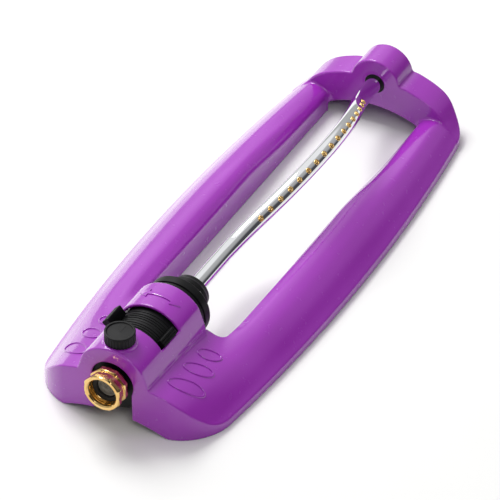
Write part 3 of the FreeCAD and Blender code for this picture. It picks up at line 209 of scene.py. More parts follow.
def height_grid():
    """Height of the filled base on a fine plan grid, and the cosine of its slope."""
    beyond = 1.15
    shares = SHARES + [beyond]
    stations, rows = [], []
    for y_share, row in PLATFORM_ROWS:
        stations.append(OPENING_FRONT * y_share)
        rows.append([PLATFORM_HEIGHT * k for k in row])
    for y_share, row in RAIL_ROWS:
        stations.append(OPENING_FRONT + (OPENING_REAR - OPENING_FRONT) * y_share)
        rows.append([RAIL_HEIGHT * k for k in row])
    for row in rows:
        row.append(LIP)
        row.append(LIP + (LIP - row[-2]) * (beyond - 1) / (SHARES[-1] - SHARES[-2]))
    across = np.linspace(0, beyond, 231)
    fine = through(shares, np.array(rows).T, across)
    along = through(stations, fine.T, GRID_Y)
    width = half_width(np.clip(GRID_Y, 0, LENGTH)) + 1
    grid = np.stack([np.interp(GRID_X / w, across, line) for w, line in zip(width, along)], axis=1)
    mirrored = np.concatenate([grid[:0:-1], grid])
    smooth = blurred(blurred(mirrored, 9, 0), 16, 1)[len(GRID_X) - 1:]
    slope_x, slope_y = np.gradient(smooth, GRID_STEP)
    return smooth, 1 / np.sqrt(1 + slope_x ** 2 + slope_y ** 2)


HEIGHT, LEAN = height_grid()
REAR_X = np.arange(0, 106, 0.25)
REAR_Z = through([x for x, _ in REAR_PROFILE], [REAR_HEIGHT * k for _, k in REAR_PROFILE], REAR_X)
REAR_Z = blurred(np.concatenate([REAR_Z[:0:-1], REAR_Z])[:, None], 10, 0)[len(REAR_X) - 1:, 0]
REAR_LEAN = 1 / np.sqrt(1 + np.gradient(REAR_Z, 0.25) ** 2)


def sampled(grid, x, y):
    """The grid's value at plan points, straight-line between its nodes."""
    u = np.clip(x / GRID_STEP, 0, len(GRID_X) - 1.001)
    v = np.clip((y - GRID_Y[0]) / GRID_STEP, 0, len(GRID_Y) - 1.001)
    i, j = u.astype(int), v.astype(int)
    u, v = u - i, v - j
    return ((1 - u) * (1 - v) * grid[i, j] + u * (1 - v) * grid[i + 1, j]
            + (1 - u) * v * grid[i, j + 1] + u * v * grid[i + 1, j + 1])


def surface_height(x, y):
    """Height of the wings and rails at one plan point."""
    return float(sampled(HEIGHT, np.array([abs(x)]), np.array([float(y)]))[0])


def base_field(x, y, z):
    """Distance to the casting's surface, negative inside it."""
    x = np.abs(x)
    side = x - half_width(np.clip(y, 0, LENGTH))
    front = FRONT_BULGE * (x / FRONT_REACH) ** 2 * np.ones_like(y) - y
    rear = y - (LENGTH - REAR_BULGE * (x / REAR_REACH) ** 2)
    plan = smooth_max(smooth_max(side, front, FRONT_CORNER), rear, REAR_CORNER)
    qx = x - OPENING_HALF + OPENING_CORNER
    cut_end = OPENING_REAR + 2
    qy = np.abs(y - (OPENING_FRONT + cut_end) / 2) - (cut_end - OPENING_FRONT) / 2 + OPENING_CORNER
    opening = (np.hypot(np.maximum(qx, 0), np.maximum(qy, 0)) + np.minimum(np.maximum(qx, qy), 0)
               - OPENING_CORNER)
    mound = (z - sampled(HEIGHT, x, y)) * sampled(LEAN, x, y)
    rear_top = (z - np.interp(x, REAR_X, REAR_Z)) * np.interp(x, REAR_X, REAR_LEAN)
    hump = np.hypot(x, np.maximum(z - AXIS, 0)) - HUMP
    cross_piece = smooth_max(smooth_min(rear_top, hump, 2.2), OPENING_REAR - y, 1.6)
    filled = smooth_max(mound, -opening, 2.2)
    filled = smooth_min(filled, cross_piece, 2.5)
    arc = np.hypot(x, np.maximum(z - AXIS, 0)) - TUNNEL
    shoulder_x, shoulder_z = TUNNEL * math.sin(SLOT_ANGLE), AXIS + TUNNEL * math.cos(SLOT_ANGLE)
    run = math.hypot(TUNNEL_FOOT - shoulder_x, shoulder_z - AXIS)
    flank = ((x - shoulder_x) * (shoulder_z - AXIS) + (z - shoulder_z) * (TUNNEL_FOOT - shoulder_x)) / run
    tunnel = np.where(z > AXIS, smooth_max(arc, flank, 1.0), x - TUNNEL_FOOT)
    tunnel = smooth_max(tunnel, y - TUNNEL_LENGTH, 1.4)
    filled = smooth_max(smooth_min(filled, tunnel, 1.6), plan, 1.3)
    seat = smooth_max(np.hypot(x, y - KNOB_Y) - KNOB_RADIUS - SEAT_RIM, np.abs(z - SEAT_LEVEL) - SEAT_HALF,
                      0.8)
    filled = smooth_min(filled, seat, 1.2)
    passage = np.hypot(x, np.maximum(z - AXIS, 0)) - (TUNNEL - WALL)
    passage = np.maximum(np.maximum(passage, WALL - y), y - OPENING_FRONT - 1)
    hollow = np.minimum(filled + WALL, passage)
    shell = smooth_max(filled, -hollow, 0.6)
    boss = smooth_max(np.hypot(x, z - AXIS) - BUSH - BOSS_WALL, np.abs(y - BOSS_MIDDLE) - BOSS_HALF, 0.8)
    posts = smooth_max(np.hypot(x - STRAP_X, y - STRAP_Y) - POST, np.abs(z - POST_LEVEL) - POST_HALF, 0.8)
    shell = np.minimum(smooth_min(shell, boss, 1.0), posts)
    slot = np.maximum(np.abs(y - (SLOT_FRONT + SLOT_REAR) / 2) - (SLOT_REAR - SLOT_FRONT) / 2,
                      x * math.cos(SLOT_ANGLE) - (z - AXIS) * math.sin(SLOT_ANGLE))
    shell = smooth_max(shell, -slot, 0.9)
    hole = np.maximum(np.hypot(x, z - AXIS) - FRONT_HOLE, y - WALL - 1)
    foot = np.minimum(np.hypot(x, z + ARCH - FOOT_ARCH) - ARCH, np.maximum(x - INLET_WAY, z - AXIS))
    foot = np.minimum(np.maximum(foot, y - WALL - 12), hole)
    shell = smooth_max(shell, -foot, 1.2)
    behind = y - OPENING_REAR
    rear_arch = np.maximum(np.hypot(x, z + ARCH - REAR_ARCH) - ARCH, np.maximum(behind - WALL - 8, -2 - behind))
    bore = np.maximum(np.hypot(x, z - AXIS) - BUSH, np.maximum(behind - 20, -4 - behind))
    shell = smooth_max(shell, -np.minimum(rear_arch, bore), 0.8)
    return smooth_max(shell, -z, 0.5)


def surface_net(step):
    """Points and quads of the casting's surface on a grid of the given step."""
    xs = np.arange(-102, 102 + step, step)
    ys = np.arange(-3, LENGTH + 3 + step, step)
    zs = np.arange(-1.5 * step, 81 + step, step)
    xg, yg = xs[:, None, None], ys[None, :, None]
    field = np.concatenate([base_field(xg * np.ones((1, len(ys), 1)), yg * np.ones((len(xs), 1, 1)), z)
                            for z in zs], axis=2)
    inside = field < 0
    count = sum(inside[i:inside.shape[0] - 1 + i, j:inside.shape[1] - 1 + j, k:inside.shape[2] - 1 + k]
                .astype(np.int8) for i in (0, 1) for j in (0, 1) for k in (0, 1))
    active = (count > 0) & (count < 8)
    cells = np.argwhere(active)
    index = np.full(active.shape, -1)
    index[active] = np.arange(len(cells))
    total, crossings = np.zeros((len(cells), 3)), np.zeros(len(cells))
    for axis in range(3):
        others = [a for a in range(3) if a != axis]
        for u in (0, 1):
            for v in (0, 1):
                low = cells.copy()
                low[:, others[0]] += u
                low[:, others[1]] += v
                high = low.copy()
                high[:, axis] += 1
                a, b = field[tuple(low.T)], field[tuple(high.T)]
                crosses = (a < 0) != (b < 0)
                t = np.where(crosses, a / np.where(crosses, a - b, 1), 0)
                spot = low.astype(float)
                spot[:, axis] += t
                total += np.where(crosses[:, None], spot, 0)
                crossings += crosses
    points = total / crossings[:, None] * step + [xs[0], ys[0], zs[0]]
    quads = []
    for axis in range(3):
        u, v = (axis + 1) % 3, (axis + 2) % 3
        first = np.moveaxis(inside, axis, 0)
        changes = np.argwhere(np.moveaxis(first[1:] != first[:-1], 0, axis))
        keep = (changes[:, u] > 0) & (changes[:, v] > 0)
        changes = changes[keep]
        corners = []
        for du, dv in ((1, 1), (0, 1), (0, 0), (1, 0)):
            cell = changes.copy()
            cell[:, u] -= du
            cell[:, v] -= dv
            cell = np.minimum(cell, np.array(active.shape) - 1)
            corners.append(index[tuple(cell.T)])
        quad = np.stack(corners, axis=1)
        leaving = inside[tuple(changes.T)]
        quads.append(np.where(leaving[:, None], quad, quad[:, ::-1]))
    return points, np.concatenate(quads)


def slopes_of(points, reach):
    """Gradient of the casting's field at the points."""
    out = np.zeros_like(points)
    for axis in range(3):
        shift = np.zeros(3)
        shift[axis] = reach
        ahead, behind = points + shift, points - shift
        out[:, axis] = (base_field(*ahead.T) - base_field(*behind.T)) / (2 * reach)
    return out


def base_casting(material):
    """The painted casting, with every edge rounded."""
    step = 1.0
    points, quads = surface_net(step)
    ends = np.concatenate([quads, np.roll(quads, -1, axis=1)], axis=0).reshape(2, -1)
    one, other = np.concatenate([ends[0], ends[1]]), np.concatenate([ends[1], ends[0]])
    neighbours = np.bincount(one, minlength=len(points))
    for smoothing in (0.5, 0.5, 0.5, 0.5, 0.3, 0.0):
        centre = np.stack([np.bincount(one, points[other, a], len(points)) for a in range(3)], axis=1)
        points += smoothing * (centre / neighbours[:, None] - points)
        gradient = slopes_of(points, 0.25)
        length = np.maximum((gradient ** 2).sum(axis=1), 0.3)
        move = -base_field(*points.T)[:, None] * gradient / length[:, None]
        points += np.clip(move, -0.5 * step, 0.5 * step)
    normals = slopes_of(points, 0.4)
    normals /= np.maximum(np.linalg.norm(normals, axis=1), 1e-6)[:, None]
    obj = make("base_casting", points, quads, "base", material, ["base_frame"],
               weighted=False)
    obj.data.normals_split_custom_set_from_vertices(normals.tolist())
    return obj


def rim_points(centre_x, centre_y, long_half, short_half, tilt, count):
    """Plan points round a tilted ellipse."""
    c, s = math.cos(tilt), math.sin(tilt)
    for k in range(count):
        a = 2 * math.pi * k / count
        u, v = long_half * math.cos(a), short_half * math.sin(a)
        yield centre_x + c * u - s * v, centre_y + s * u + c * v


def wing_rims(material):
    """Three raised oval rims on each wing: a half-round bead laid along an ellipse on the skin."""
    bead, lift, tilt, count, around = 1.0, 0.1, math.radians(30), 72, 10
    points, faces = [], []
    for x, y, long_half, short_half in ((53, 31.4, 15.0, 6.7), (51.2, 56, 12.3, 6.4), (49, 79, 9.8, 6.2)):
        for side in (1, -1):
            rim = list(rim_points(side * x, y, long_half, short_half, side * tilt, count))
            start = len(points)
            for px, py in rim:
                outward = np.array([px - side * x, py - y])
                outward /= np.linalg.norm(outward)
                z = surface_height(px, py)
                for m in range(around):
                    angle = 2 * math.pi * m / around
                    aside, up = bead * math.cos(angle), bead * math.sin(angle) + lift
                    slope = surface_height(px + outward[0], py + outward[1]) - z
                    points.append((px + outward[0] * aside, py + outward[1] * aside, z + up + slope * aside))
            faces += [tuple(start + i for i in f) for f in ring_faces(count, around)]
    return make("wing_rims", points, faces, "base", material)


def tunnel_arrow(material):
    """A plain two-headed arrow that stands proud of the band behind the range slot."""
    middle = (SLOT_REAR + TUNNEL_LENGTH) / 2
    tip, neck, head, bar, point = 19, 11, 5.4, 1.8, 0.12
    columns = [(-tip, point), (-neck - 0.02, head), (-neck, bar)]
    columns += [(x, bar) for x in np.linspace(-9, 9, 13)]
    columns += [(neck, bar), (neck + 0.02, head), (tip, point)]
    points = []
    for x, half in columns:
        for radius, along in ((TUNNEL - 0.6, -half), (TUNNEL + 0.85, -half), (TUNNEL + 0.85, half),
                              (TUNNEL - 0.6, half)):
            points.append((x, middle + along, AXIS + math.sqrt(radius ** 2 - x ** 2)))
    faces = ring_faces(len(columns), 4, wrap_rows=False)
    faces = [f[::-1] for f in faces] + [(0, 1, 2, 3), tuple(4 * len(columns) - 1 - k for k in range(4))]
    arrow = make("tunnel_arrow", points, faces, "base", material, weighted=False)
    edge = arrow.modifiers.new("soft_edges", "BEVEL")
    edge.width = 0.3 * MM
    edge.segments = 2
    edge.limit_method = "ANGLE"
    return arrow


# ---------------------------------------------------------------- motor, rings and knob
MOTOR, MOTOR_BORE, MOTOR_SPLIT, MOTOR_REAR = 29.3, 26.9, 68, 117
SHAFT, SHAFT_FIT = 8.0, 0.05
COLLAR, COLLAR_FRONT, COLLAR_REAR = 18.6, 119.4, 140
TUBE, TUBE_WALL, TUBE_START, TUBE_END = 7.5, 0.9, 124.0, 500.0
RING_WIDTH, RING_INSET, RING_SLACK = 11.4, 2.5, 0.3
RING_STARTS = {"left": SLOT_FRONT + RING_INSET, "right": SLOT_FRONT + RING_INSET + RING_WIDTH + RING_SLACK}
NECK = 27.05
TAB_ANGLES = {"left": math.radians(-46), "right": math.radians(50)}
TAB_HALF = math.radians(6)
TAB_LENGTH = 21.5
TABS = {"left": (10, True), "right": (5.2, False)}      # height, and whether it starts at its ring's front


def hang(piece, parent):
    """Makes piece follow parent, without moving it."""
    piece.parent = parent
    piece.matrix_parent_inverse = parent.matrix_world.inverted()


def sector(name, start, end, inner, outer, middle, half, grooves, body, material):
    """A tab: part of a ring, with grooves across its top."""
    outline = [(inner, -half, 0), (outer, -half, 0.8)]
    for k in range(grooves):
        at = -half + 2 * half * (k + 1) / (grooves + 1)
        outline += [(outer, at - 0.012, 0.25), (outer - 1.0, at - 0.006, 0.2), (outer - 1.0, at + 0.006, 0.2),
                    (outer, at + 0.012, 0.25)]
    outline += [(outer, half, 0.8), (inner, half, 0)]
    flat = rounded([(r * math.sin(middle + a), r * math.cos(middle + a), rho) for r, a, rho in outline])
    bevel = 0.7
    rows = [(start, bevel), (start + 0.2 * bevel, 0.35 * bevel), (start + bevel, 0)]
    rows += [(end - bevel, 0), (end - 0.2 * bevel, 0.35 * bevel), (end, bevel)]
    centre = np.array([(inner + outer) / 2 * math.sin(middle), (inner + outer) / 2 * math.cos(middle)])
    points = []
    for y, inset in rows:
        for p in flat:
            away = p - centre
            q = p - away / np.linalg.norm(away) * inset
            points.append((q[0], y, AXIS + q[1]))
    count = len(flat)
    faces = ring_faces(len(rows), count, wrap_rows=False)
    faces += [tuple(range(count))[::-1], tuple(len(points) - count + k for k in range(count))]
    return make(name, points, faces, body, material)


def range_rings(material):
    """The two range rings with their ribbed tabs."""
    for side, start in RING_STARTS.items():
        end = start + RING_WIDTH
        corners = [(start, NECK, 0), (start, MOTOR - 0.1, 0.5)]
        for k in range(3):
            groove = start + 2.2 + 2.6 * k
            corners += [(groove, MOTOR - 0.1, 0.25), (groove + 0.1, MOTOR - 0.9, 0.2),
                        (groove + 1.1, MOTOR - 0.9, 0.2), (groove + 1.2, MOTOR - 0.1, 0.25)]
        corners += [(end, MOTOR - 0.1, 0.5), (end, NECK, 0)]
        ring = lathe(f"range_ring_{side}_band", corners, f"range_{side}", material,
                     [f"range_ring_{side}"])
        height, first = TABS[side]
        tab_start = start if first else end - TAB_LENGTH
        pieces = [sector(f"range_ring_{side}_tab", tab_start, tab_start + TAB_LENGTH, MOTOR + 0.6,
                         MOTOR + height, TAB_ANGLES[side], TAB_HALF, 2, f"range_{side}", material),
                  sector(f"range_ring_{side}_tab_root", start + 0.3, end - 0.3, NECK + 1.2, MOTOR + 1.6,
                         TAB_ANGLES[side], 0.9 * TAB_HALF, 0, f"range_{side}", material)]
        for piece in pieces:
            hang(piece, ring)


def about_stem(along, radius, angle):
    """A point round the valve stem."""
    return (radius * math.sin(angle), KNOB_Y + radius * math.cos(angle), along)


def knob(material):
    """The flow knob: fluted side, plain rim and a slightly dished top with a raised pointer."""
    low, top = KNOB_TOP - KNOB_HEIGHT, KNOB_TOP

    def fluted(along, radius, angle):
        if radius < KNOB_RADIUS - 1.2 or along > top - 2.1:
            return radius
        return radius - 0.55 * (0.5 + 0.5 * math.cos(30 * angle)) ** 0.8

    corners = [(low, STEM, 0), (low, KNOB_RADIUS, 0.5), (top - 2.2, KNOB_RADIUS, 0.1),
               (top - 1.8, KNOB_RADIUS - 0.35, 0.2), (top - 1.5, KNOB_RADIUS, 0.2), (top, KNOB_RADIUS, 0.8),
               (top, KNOB_RADIUS - 2.0, 0.4), (top - 1.0, KNOB_RADIUS - 2.4, 0.5), (top - 0.7, 1.0, 0.5),
               (top - 3, 1.0, 0), (top - 3, STEM, 0)]
    body = lathe("knob_body", corners, "flow_valve", material, ["flow_knob"], segments=240,
                 place=about_stem, shape=fluted)
    width, reach, rise = 1.3, KNOB_RADIUS - 3.2, 0.35
    outline = rounded([(-width, -2, 0.6), (width, -2, 0.6), (width, reach - 2, 0.4), (0, reach, 0.3),
                       (-width, reach - 2, 0.4)])
    levels = [(top - 1.3, 1.0), (top - 1.0 + rise - 0.15, 1.0), (top - 1.0 + rise, 0.86)]
    points = [(x * k, KNOB_Y + (y - reach / 2) * (1 - (1 - k) * 0.3) + reach / 2, z)
              for z, k in levels for x, y in outline]
    count = len(outline)
    faces = ring_faces(len(levels), count, wrap_rows=False)
    faces += [tuple(range(count))[::-1], tuple(len(points) - count + k for k in range(count))]
    pointer = make("knob_pointer", points, faces, "flow_valve", material)
    hang(pointer, body)


def rear_housing(material):
    """The visible rear of the motor housing, with its seam groove."""
    groove, depth, end_wall, bore = MOTOR_REAR - 11, 1.3, 5, SHAFT + SHAFT_FIT
    lathe("motor_rear_shell", [
        (MOTOR_SPLIT, MOTOR_BORE, 0), (MOTOR_SPLIT, MOTOR, 0.4), (groove, MOTOR, 0.4),
        (groove + 0.2, MOTOR - depth, 0.3), (groove + 2.0, MOTOR - depth, 0.3), (groove + 2.2, MOTOR, 0.4),
        (MOTOR_REAR, MOTOR, 1.6), (MOTOR_REAR, bore, 0.4), (MOTOR_REAR - end_wall, bore, 0),
        (MOTOR_REAR - end_wall, MOTOR_BORE, 0)], "base", material, ["housing_rear"])


def collar(material):
    """The black collar that the spray tube is moulded into."""
    groove, depth, shoulder = TUBE_START + 0.5, 0.7, COLLAR_REAR - 9
    step, shaft_end = TUBE - 1.4, TUBE_START - 0.5
    lathe("tube_collar_moulding", [
        (COLLAR_FRONT, SHAFT, 0), (COLLAR_FRONT, COLLAR, 1.0), (groove, COLLAR, 0.4),
        (groove + 0.4, COLLAR - depth, 0.3), (groove + 1.8, COLLAR - depth, 0.3), (groove + 2.2, COLLAR, 0.4),
        (shoulder, COLLAR, 0.8), (shoulder + 2.4, COLLAR - 1.0, 0.8), (shoulder + 6.5, COLLAR - 2.0, 1.2),
        (COLLAR_REAR, COLLAR - 5.4, 1.0), (COLLAR_REAR, TUBE, 0.3), (TUBE_START, TUBE, 0),
        (TUBE_START, step, 0), (shaft_end, step, 0), (shaft_end, SHAFT, 0)],
        "tube", material, ["tube_collar"])


# ---------------------------------------------------------------- inlet
NUT_FRONT, NUT_REAR, NUT, THREAD = -16.9, -1.4, 18.0, 13.0


def nut(material):
    """The brass swivel nut: eight sides with turned edges, a round waist, and a rounded inner thread."""
    eighth = math.pi / 4

    def eight_sided(along, radius, angle):
        if radius < 14.9:
            return radius
        off = (angle + eighth / 2) % eighth - eighth / 2
        flat = NUT * math.cos(eighth / 2) / math.cos(off)
        return min(radius, flat - 0.25 * (abs(off) / (eighth / 2)) ** 6)

    front, rear = NUT_FRONT, NUT_REAR
    corners = [(front, THREAD + 1.0, 0.2), (front, NUT - 1.7, 0.5), (front + 1.1, NUT, 0.5),
               (front + 4.2, NUT, 0.4), (front + 5.2, NUT - 1.6, 0.3), (front + 5.4, NUT - 2.4, 0.3),
               (rear - 5.6, NUT - 2.4, 0.3), (rear - 5.4, NUT - 1.6, 0.3), (rear - 4.4, NUT, 0.4),
               (rear - 0.9, NUT, 0.4), (rear, NUT - 1.3, 0.4), (rear, 11.85, 0.2), (-3.35, 11.85, 0.1),
               (-3.35, 13.35, 0.1), (-8.9, 13.35, 0.1)]
    pitch = 2.2
    crest = -9.2
    while crest > front + 2.0:
        corners += [(crest, THREAD + 0.55, 0.12), (crest - pitch / 2, THREAD + 0.02, 0.25)]
        crest -= pitch
    corners += [(front + 1.0, THREAD + 0.1, 0.2)]
    lathe("swivel_nut_body", corners, "inlet_nut", material, ["swivel_nut"], segments=192,
          shape=eight_sided)


def woven_filter(material):
    """The inlet filter: a shallow dome of crossed wires on a pressed rim."""
    front, ball, reach, wire = -6.6, 17.0, 8.6, 0.16
    centre = front + math.sqrt(ball ** 2 - reach ** 2) + 0.2
    points, faces = [], []
    pitch = 0.95
    count = int(reach / pitch)
    for direction in (0, 1):
        for k in range(-count, count + 1):
            offset = k * pitch
            half = math.sqrt(max(reach ** 2 - offset ** 2, 0.01))
            steps = max(int(2 * half / (pitch / 2)), 4)
            start = len(points)
            for n in range(steps + 1):
                t = -half + 2 * half * n / steps
                weave = wire * 0.9 * math.cos(math.pi * (t / pitch)) * (1 if (k + direction) % 2 else -1)
                u, v = (t, offset) if direction else (offset, t)
                y = centre - math.sqrt(ball ** 2 - u ** 2 - v ** 2) + weave
                for m in range(4):
                    a = math.pi / 4 + math.pi / 2 * m
                    across, out = wire * math.cos(a), wire * math.sin(a)
                    x, z = (u, v + across) if direction else (u + across, v)
                    points.append((x, y + out, AXIS + z))
            faces += [tuple(start + i for i in f) for f in ring_faces(steps + 1, 4, wrap_rows=False)]
            faces += [tuple(start + i for i in (3, 2, 1, 0)),
                      tuple(start + 4 * steps + i for i in (0, 1, 2, 3))]
    mesh = make("filter_weave", points, faces, "base", material, ["inlet_filter"],
                weighted=False)
    rim = lathe("filter_rim", [(front - 0.3, 7.7, 0.2), (front - 0.3, 8.7, 0.25), (front + 3.8, 8.7, 0.1),
                               (front + 3.8, 8.0, 0.1)], "base", material)
    hang(rim, mesh)


# ---------------------------------------------------------------- spray tube
BOW_START, BOW_END, BOW_ANGLE, BEND = 190.0, 480.0, math.radians(30.8), 102.0
NOZZLES, NOZZLE_PITCH, NOZZLE_START = 17, 12.4, 52.8
BOW = (BOW_END - BOW_START) / (2 * math.sin(BOW_ANGLE)) - BEND


def tube_line():
    """Steps along the tube's centre line: the length so far, Y, the offset from the axis, and the slope."""
    step = 0.5
    bends = [BOW_START - TUBE_START, BEND * BOW_ANGLE, 2 * BOW * BOW_ANGLE, BEND * BOW_ANGLE,
             TUBE_END - BOW_END]
    ends = np.concatenate([[0], np.cumsum(bends)])
    slopes = [0, 0, BOW_ANGLE, -BOW_ANGLE, 0, 0]
    length = np.arange(0, ends[-1] + step / 2, step)
    slope = np.interp(length, ends, slopes)
    middle = (slope[1:] + slope[:-1]) / 2
    y = TUBE_START + np.concatenate([[0], np.cumsum(np.cos(middle))]) * step
    offset = np.concatenate([[0], np.cumsum(np.sin(middle))]) * step
    return length, y, offset, slope


def swung(x, y, height):
    """A point of the upright tube plane, turned to the rest swing about the axis."""
    return (x * math.cos(SWING) + height * math.sin(SWING), y,
            AXIS + height * math.cos(SWING) - x * math.sin(SWING))


def spray_tube(material):
    """The bent tube, with its open bore at the collar end."""
    length, y, offset, slope = tube_line()
    around = 64
    points = []
    rows = list(range(0, len(length), 4)) + [len(length) - 1]
    for radius, order in ((TUBE, rows), (TUBE - TUBE_WALL, rows[::-1])):
        for i in order:
            for k in range(around):
                angle = 2 * math.pi * k / around
                aside, up = radius * math.sin(angle), radius * math.cos(angle)
                ahead, out = y[i] - up * math.sin(slope[i]), offset[i] + up * math.cos(slope[i])
                points.append(swung(aside, ahead, out))
    faces = [f[::-1] for f in ring_faces(2 * len(rows), around)]
    return make("spray_tube_bow", points, faces, "tube", material, ["spray_tube"], weighted=False)


def nozzle_row(material):
    """The row of brass nozzles: a domed flange with a turned ring and a small jet hole."""
    length, y, offset, slope = tube_line()
    corners = rounded([(-0.9, 0.55, 0), (-0.9, 2.0, 0), (-0.3, 2.6, 0.2), (0.55, 2.7, 0.35), (0.9, 1.7, 0.35),
                       (0.55, 1.35, 0.15), (0.6, 1.1, 0.15), (1.0, 0.95, 0.2), (0.95, 0.55, 0.15)], 3)
    around = 28
    points, faces = [], []
    first = NOZZLE_START + BOW_START - TUBE_START
    for n in range(NOZZLES):
        i = int(round((first + n * NOZZLE_PITCH) / 0.5))
        start = len(points)
        c, s = math.cos(slope[i]), math.sin(slope[i])
        for along, radius in corners:
            for k in range(around):
                angle = 2 * math.pi * k / around
                aside, ahead, out = radius * math.sin(angle), radius * math.cos(angle), TUBE + along
                points.append(swung(aside, y[i] + ahead * c - out * s, offset[i] + ahead * s + out * c))
        faces += [tuple(start + v for v in f) for f in ring_faces(len(corners), around)]
    make("nozzle_row", points, faces, "tube", material, ["spray_nozzles"])


# ---------------------------------------------------------------- materials
def finish_nodes(name, base_low_colour, base_high_colour, mottle, roughness, grain, grain_height,
                 metallic=0.0, coat=0.0, coat_roughness=0.05, specular=0.5):
    """A Principled material: colour mottled between two shades, roughness that wanders, and a fine grain."""
    material = bpy.data.materials.new(name)
    material.use_nodes = True
    nodes, links = material.node_tree.nodes, material.node_tree.links
    shader = nodes["Principled BSDF"]
    place = nodes.new("ShaderNodeTexCoord")
    patches = nodes.new("ShaderNodeTexNoise")
    patches.inputs["Scale"].default_value = mottle
    patches.inputs["Detail"].default_value = 4
    links.new(place.outputs["Object"], patches.inputs["Vector"])
    ramp = nodes.new("ShaderNodeValToRGB")
    ramp.color_ramp.elements[0].position, ramp.color_ramp.elements[1].position = 0.35, 0.65
    ramp.color_ramp.elements[0].color = (*base_low_colour, 1)
    ramp.color_ramp.elements[1].color = (*base_high_colour, 1)
    links.new(patches.outputs["Fac"], ramp.inputs["Fac"])
    links.new(ramp.outputs["Color"], shader.inputs["Base Color"])
    gloss = nodes.new("ShaderNodeMapRange")
    gloss.inputs["To Min"].default_value, gloss.inputs["To Max"].default_value = roughness
    fine = nodes.new("ShaderNodeTexNoise")
    fine.inputs["Scale"].default_value = grain
    fine.inputs["Detail"].default_value = 3
    links.new(place.outputs["Object"], fine.inputs["Vector"])
    links.new(fine.outputs["Fac"], gloss.inputs["Value"])
    links.new(gloss.outputs["Result"], shader.inputs["Roughness"])
    bump = nodes.new("ShaderNodeBump")
    bump.inputs["Strength"].default_value = 1.0
    bump.inputs["Distance"].default_value = grain_height
    links.new(fine.outputs["Fac"], bump.inputs["Height"])
    links.new(bump.outputs["Normal"], shader.inputs["Normal"])
    shader.inputs["Metallic"].default_value = metallic
    shader.inputs["Coat Weight"].default_value = coat
    shader.inputs["Coat Roughness"].default_value = coat_roughness
    shader.inputs["Specular IOR Level"].default_value = specular
    return material


PURPLE = finish_nodes("gloss_purple_enamel", (0.335, 0.026, 0.450), (0.365, 0.032, 0.490), 9, (0.22, 0.30),
                      160, 0.0000008, coat=0.9, coat_roughness=0.02, specular=0.3)
BLACK = finish_nodes("satin_black_moulding", (0.004, 0.004, 0.0045), (0.009, 0.009, 0.010), 60, (0.34, 0.50),
                     2600, 0.00001, specular=0.16)
RUBBER = finish_nodes("matt_black_rubber", (0.012, 0.012, 0.012), (0.03, 0.03, 0.03), 90, (0.65, 0.85), 1500,
                      0.00002)
WHITE = finish_nodes("white_acetal", (0.72, 0.72, 0.69), (0.80, 0.80, 0.77), 80, (0.28, 0.40), 1200, 0.000006)
BRASS = finish_nodes("polished_brass", (0.80, 0.50, 0.17), (0.90, 0.62, 0.26), 120, (0.09, 0.20), 1400,
                     0.000006, metallic=1.0)
CHROME = finish_nodes("chrome_plate", (0.80, 0.81, 0.83), (0.86, 0.87, 0.89), 14, (0.03, 0.07), 900,
                      0.0000012, metallic=1.0)
STEEL = finish_nodes("zinc_steel", (0.48, 0.48, 0.50), (0.62, 0.62, 0.64), 150, (0.25, 0.42), 1800, 0.000006,
                     metallic=1.0)
MESH_STEEL = finish_nodes("filter_wire", (0.42, 0.40, 0.36), (0.62, 0.60, 0.55), 400, (0.30, 0.50), 2000,
                          0.000004, metallic=1.0)
BY_SLOT = {"purple_paint": PURPLE, "black_plastic": BLACK, "black_rubber": RUBBER, "white_plastic": WHITE,
           "brass": BRASS, "chrome": CHROME, "steel": STEEL, "filter_mesh": MESH_STEEL}

# ---------------------------------------------------------------- the object
for row in frame["record"]["subparts"]:
    node = frame["nodes"][row["node"]]
    node.data.materials.clear()
    node.data.materials.append(BY_SLOT[row["material_slot"]])

base_casting(PURPLE)
wing_rims(PURPLE)
tunnel_arrow(PURPLE)
range_rings(BLACK)
knob(BLACK)
rear_housing(BLACK)
collar(BLACK)
nut(BRASS)
woven_filter(MESH_STEEL)
spray_tube(CHROME)
nozzle_row(BRASS)


# ---------------------------------------------------------------- studio
def floor():
    """A plain pale floor."""
    mesh = bpy.data.meshes.new("studio_floor")
    half = 4.0
    corners = [(-half, -half, 0), (half, -half, 0), (half, half, 0), (-half, half, 0)]
    mesh.from_pydata(corners, [], [(0, 1, 2, 3)])
    obj = bpy.data.objects.new("studio_floor", mesh)
    bpy.context.scene.collection.objects.link(obj)
    material = finish_nodes("pale_paper", (0.86, 0.86, 0.85), (0.88, 0.88, 0.87), 3, (0.8, 0.9), 300, 0.00001,
                            specular=0.1)
    mesh.materials.append(material)


def softbox(name, place, aim, width, height, watts):
    """A soft rectangular light."""
    light = bpy.data.lights.new(name, "AREA")
    light.shape = "RECTANGLE"
    light.size, light.size_y, light.energy = width, height, watts
    obj = bpy.data.objects.new(name, light)
    obj.location = place
    obj.rotation_euler = (Vector(aim) - Vector(place)).to_track_quat("-Z", "Y").to_euler()
    bpy.context.scene.collection.objects.link(obj)


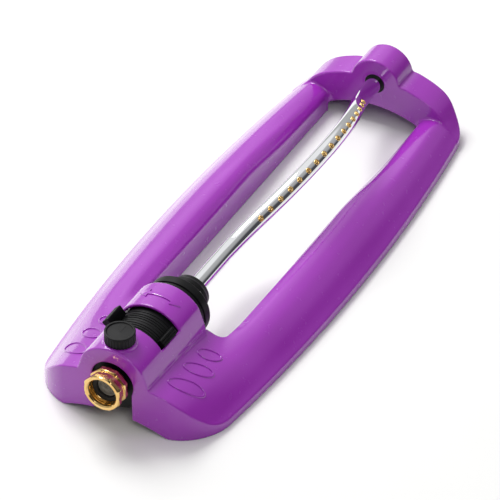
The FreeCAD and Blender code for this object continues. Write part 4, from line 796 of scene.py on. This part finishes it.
def studio_air():
    """Surroundings for the reflections: a bright panel above to the left, and grey elsewhere."""
    world = bpy.data.worlds.new("studio_air")
    world.use_nodes = True
    nodes, links = world.node_tree.nodes, world.node_tree.links
    place = nodes.new("ShaderNodeTexCoord")
    facing = nodes.new("ShaderNodeVectorMath")
    facing.operation = "DOT_PRODUCT"
    facing.inputs[1].default_value = Vector((-0.55, 0.25, 0.80)).normalized()
    links.new(place.outputs["Generated"], facing.inputs[0])
    ramp = nodes.new("ShaderNodeValToRGB")
    ramp.color_ramp.elements[0].position, ramp.color_ramp.elements[1].position = 0.02, 0.80
    ramp.color_ramp.elements[0].color = (0.07, 0.07, 0.08, 1)
    ramp.color_ramp.elements[1].color = (1.0, 1.0, 1.0, 1)
    for position, grey in ((0.30, 0.42), (0.70, 0.52)):
        ramp.color_ramp.elements.new(position).color = (grey, grey, grey, 1)
    links.new(facing.outputs["Value"], ramp.inputs["Fac"])
    links.new(ramp.outputs["Color"], nodes["Background"].inputs["Color"])
    nodes["Background"].inputs["Strength"].default_value = 0.95
    bpy.context.scene.world = world


floor()
studio_air()
softbox("key_box", (-1.1, 0.5, 1.7), (0, 0, 0), 1.0, 1.0, 34)
softbox("front_box", (0.9, -1.2, 1.6), (0, 0, 0), 0.8, 0.8, 7)

TARGET = Vector((-0.0106, 0.01405, 0.0))
AZIMUTH, ELEVATION, DISTANCE = math.radians(28.13), math.radians(37.75), 3.5
camera_data = bpy.data.cameras.new("studio_camera")
camera_data.sensor_width = 36
camera_data.lens = 287.3
camera_data.clip_end = 20
camera = bpy.data.objects.new("studio_camera", camera_data)
camera.location = TARGET + DISTANCE * Vector((math.sin(AZIMUTH) * math.cos(ELEVATION),
                                              -math.cos(AZIMUTH) * math.cos(ELEVATION), math.sin(ELEVATION)))
camera.rotation_euler = (TARGET - camera.location).to_track_quat("-Z", "Y").to_euler()
bpy.context.scene.collection.objects.link(camera)
bpy.context.scene.camera = camera
bpy.context.scene.view_settings.view_transform = "Standard"
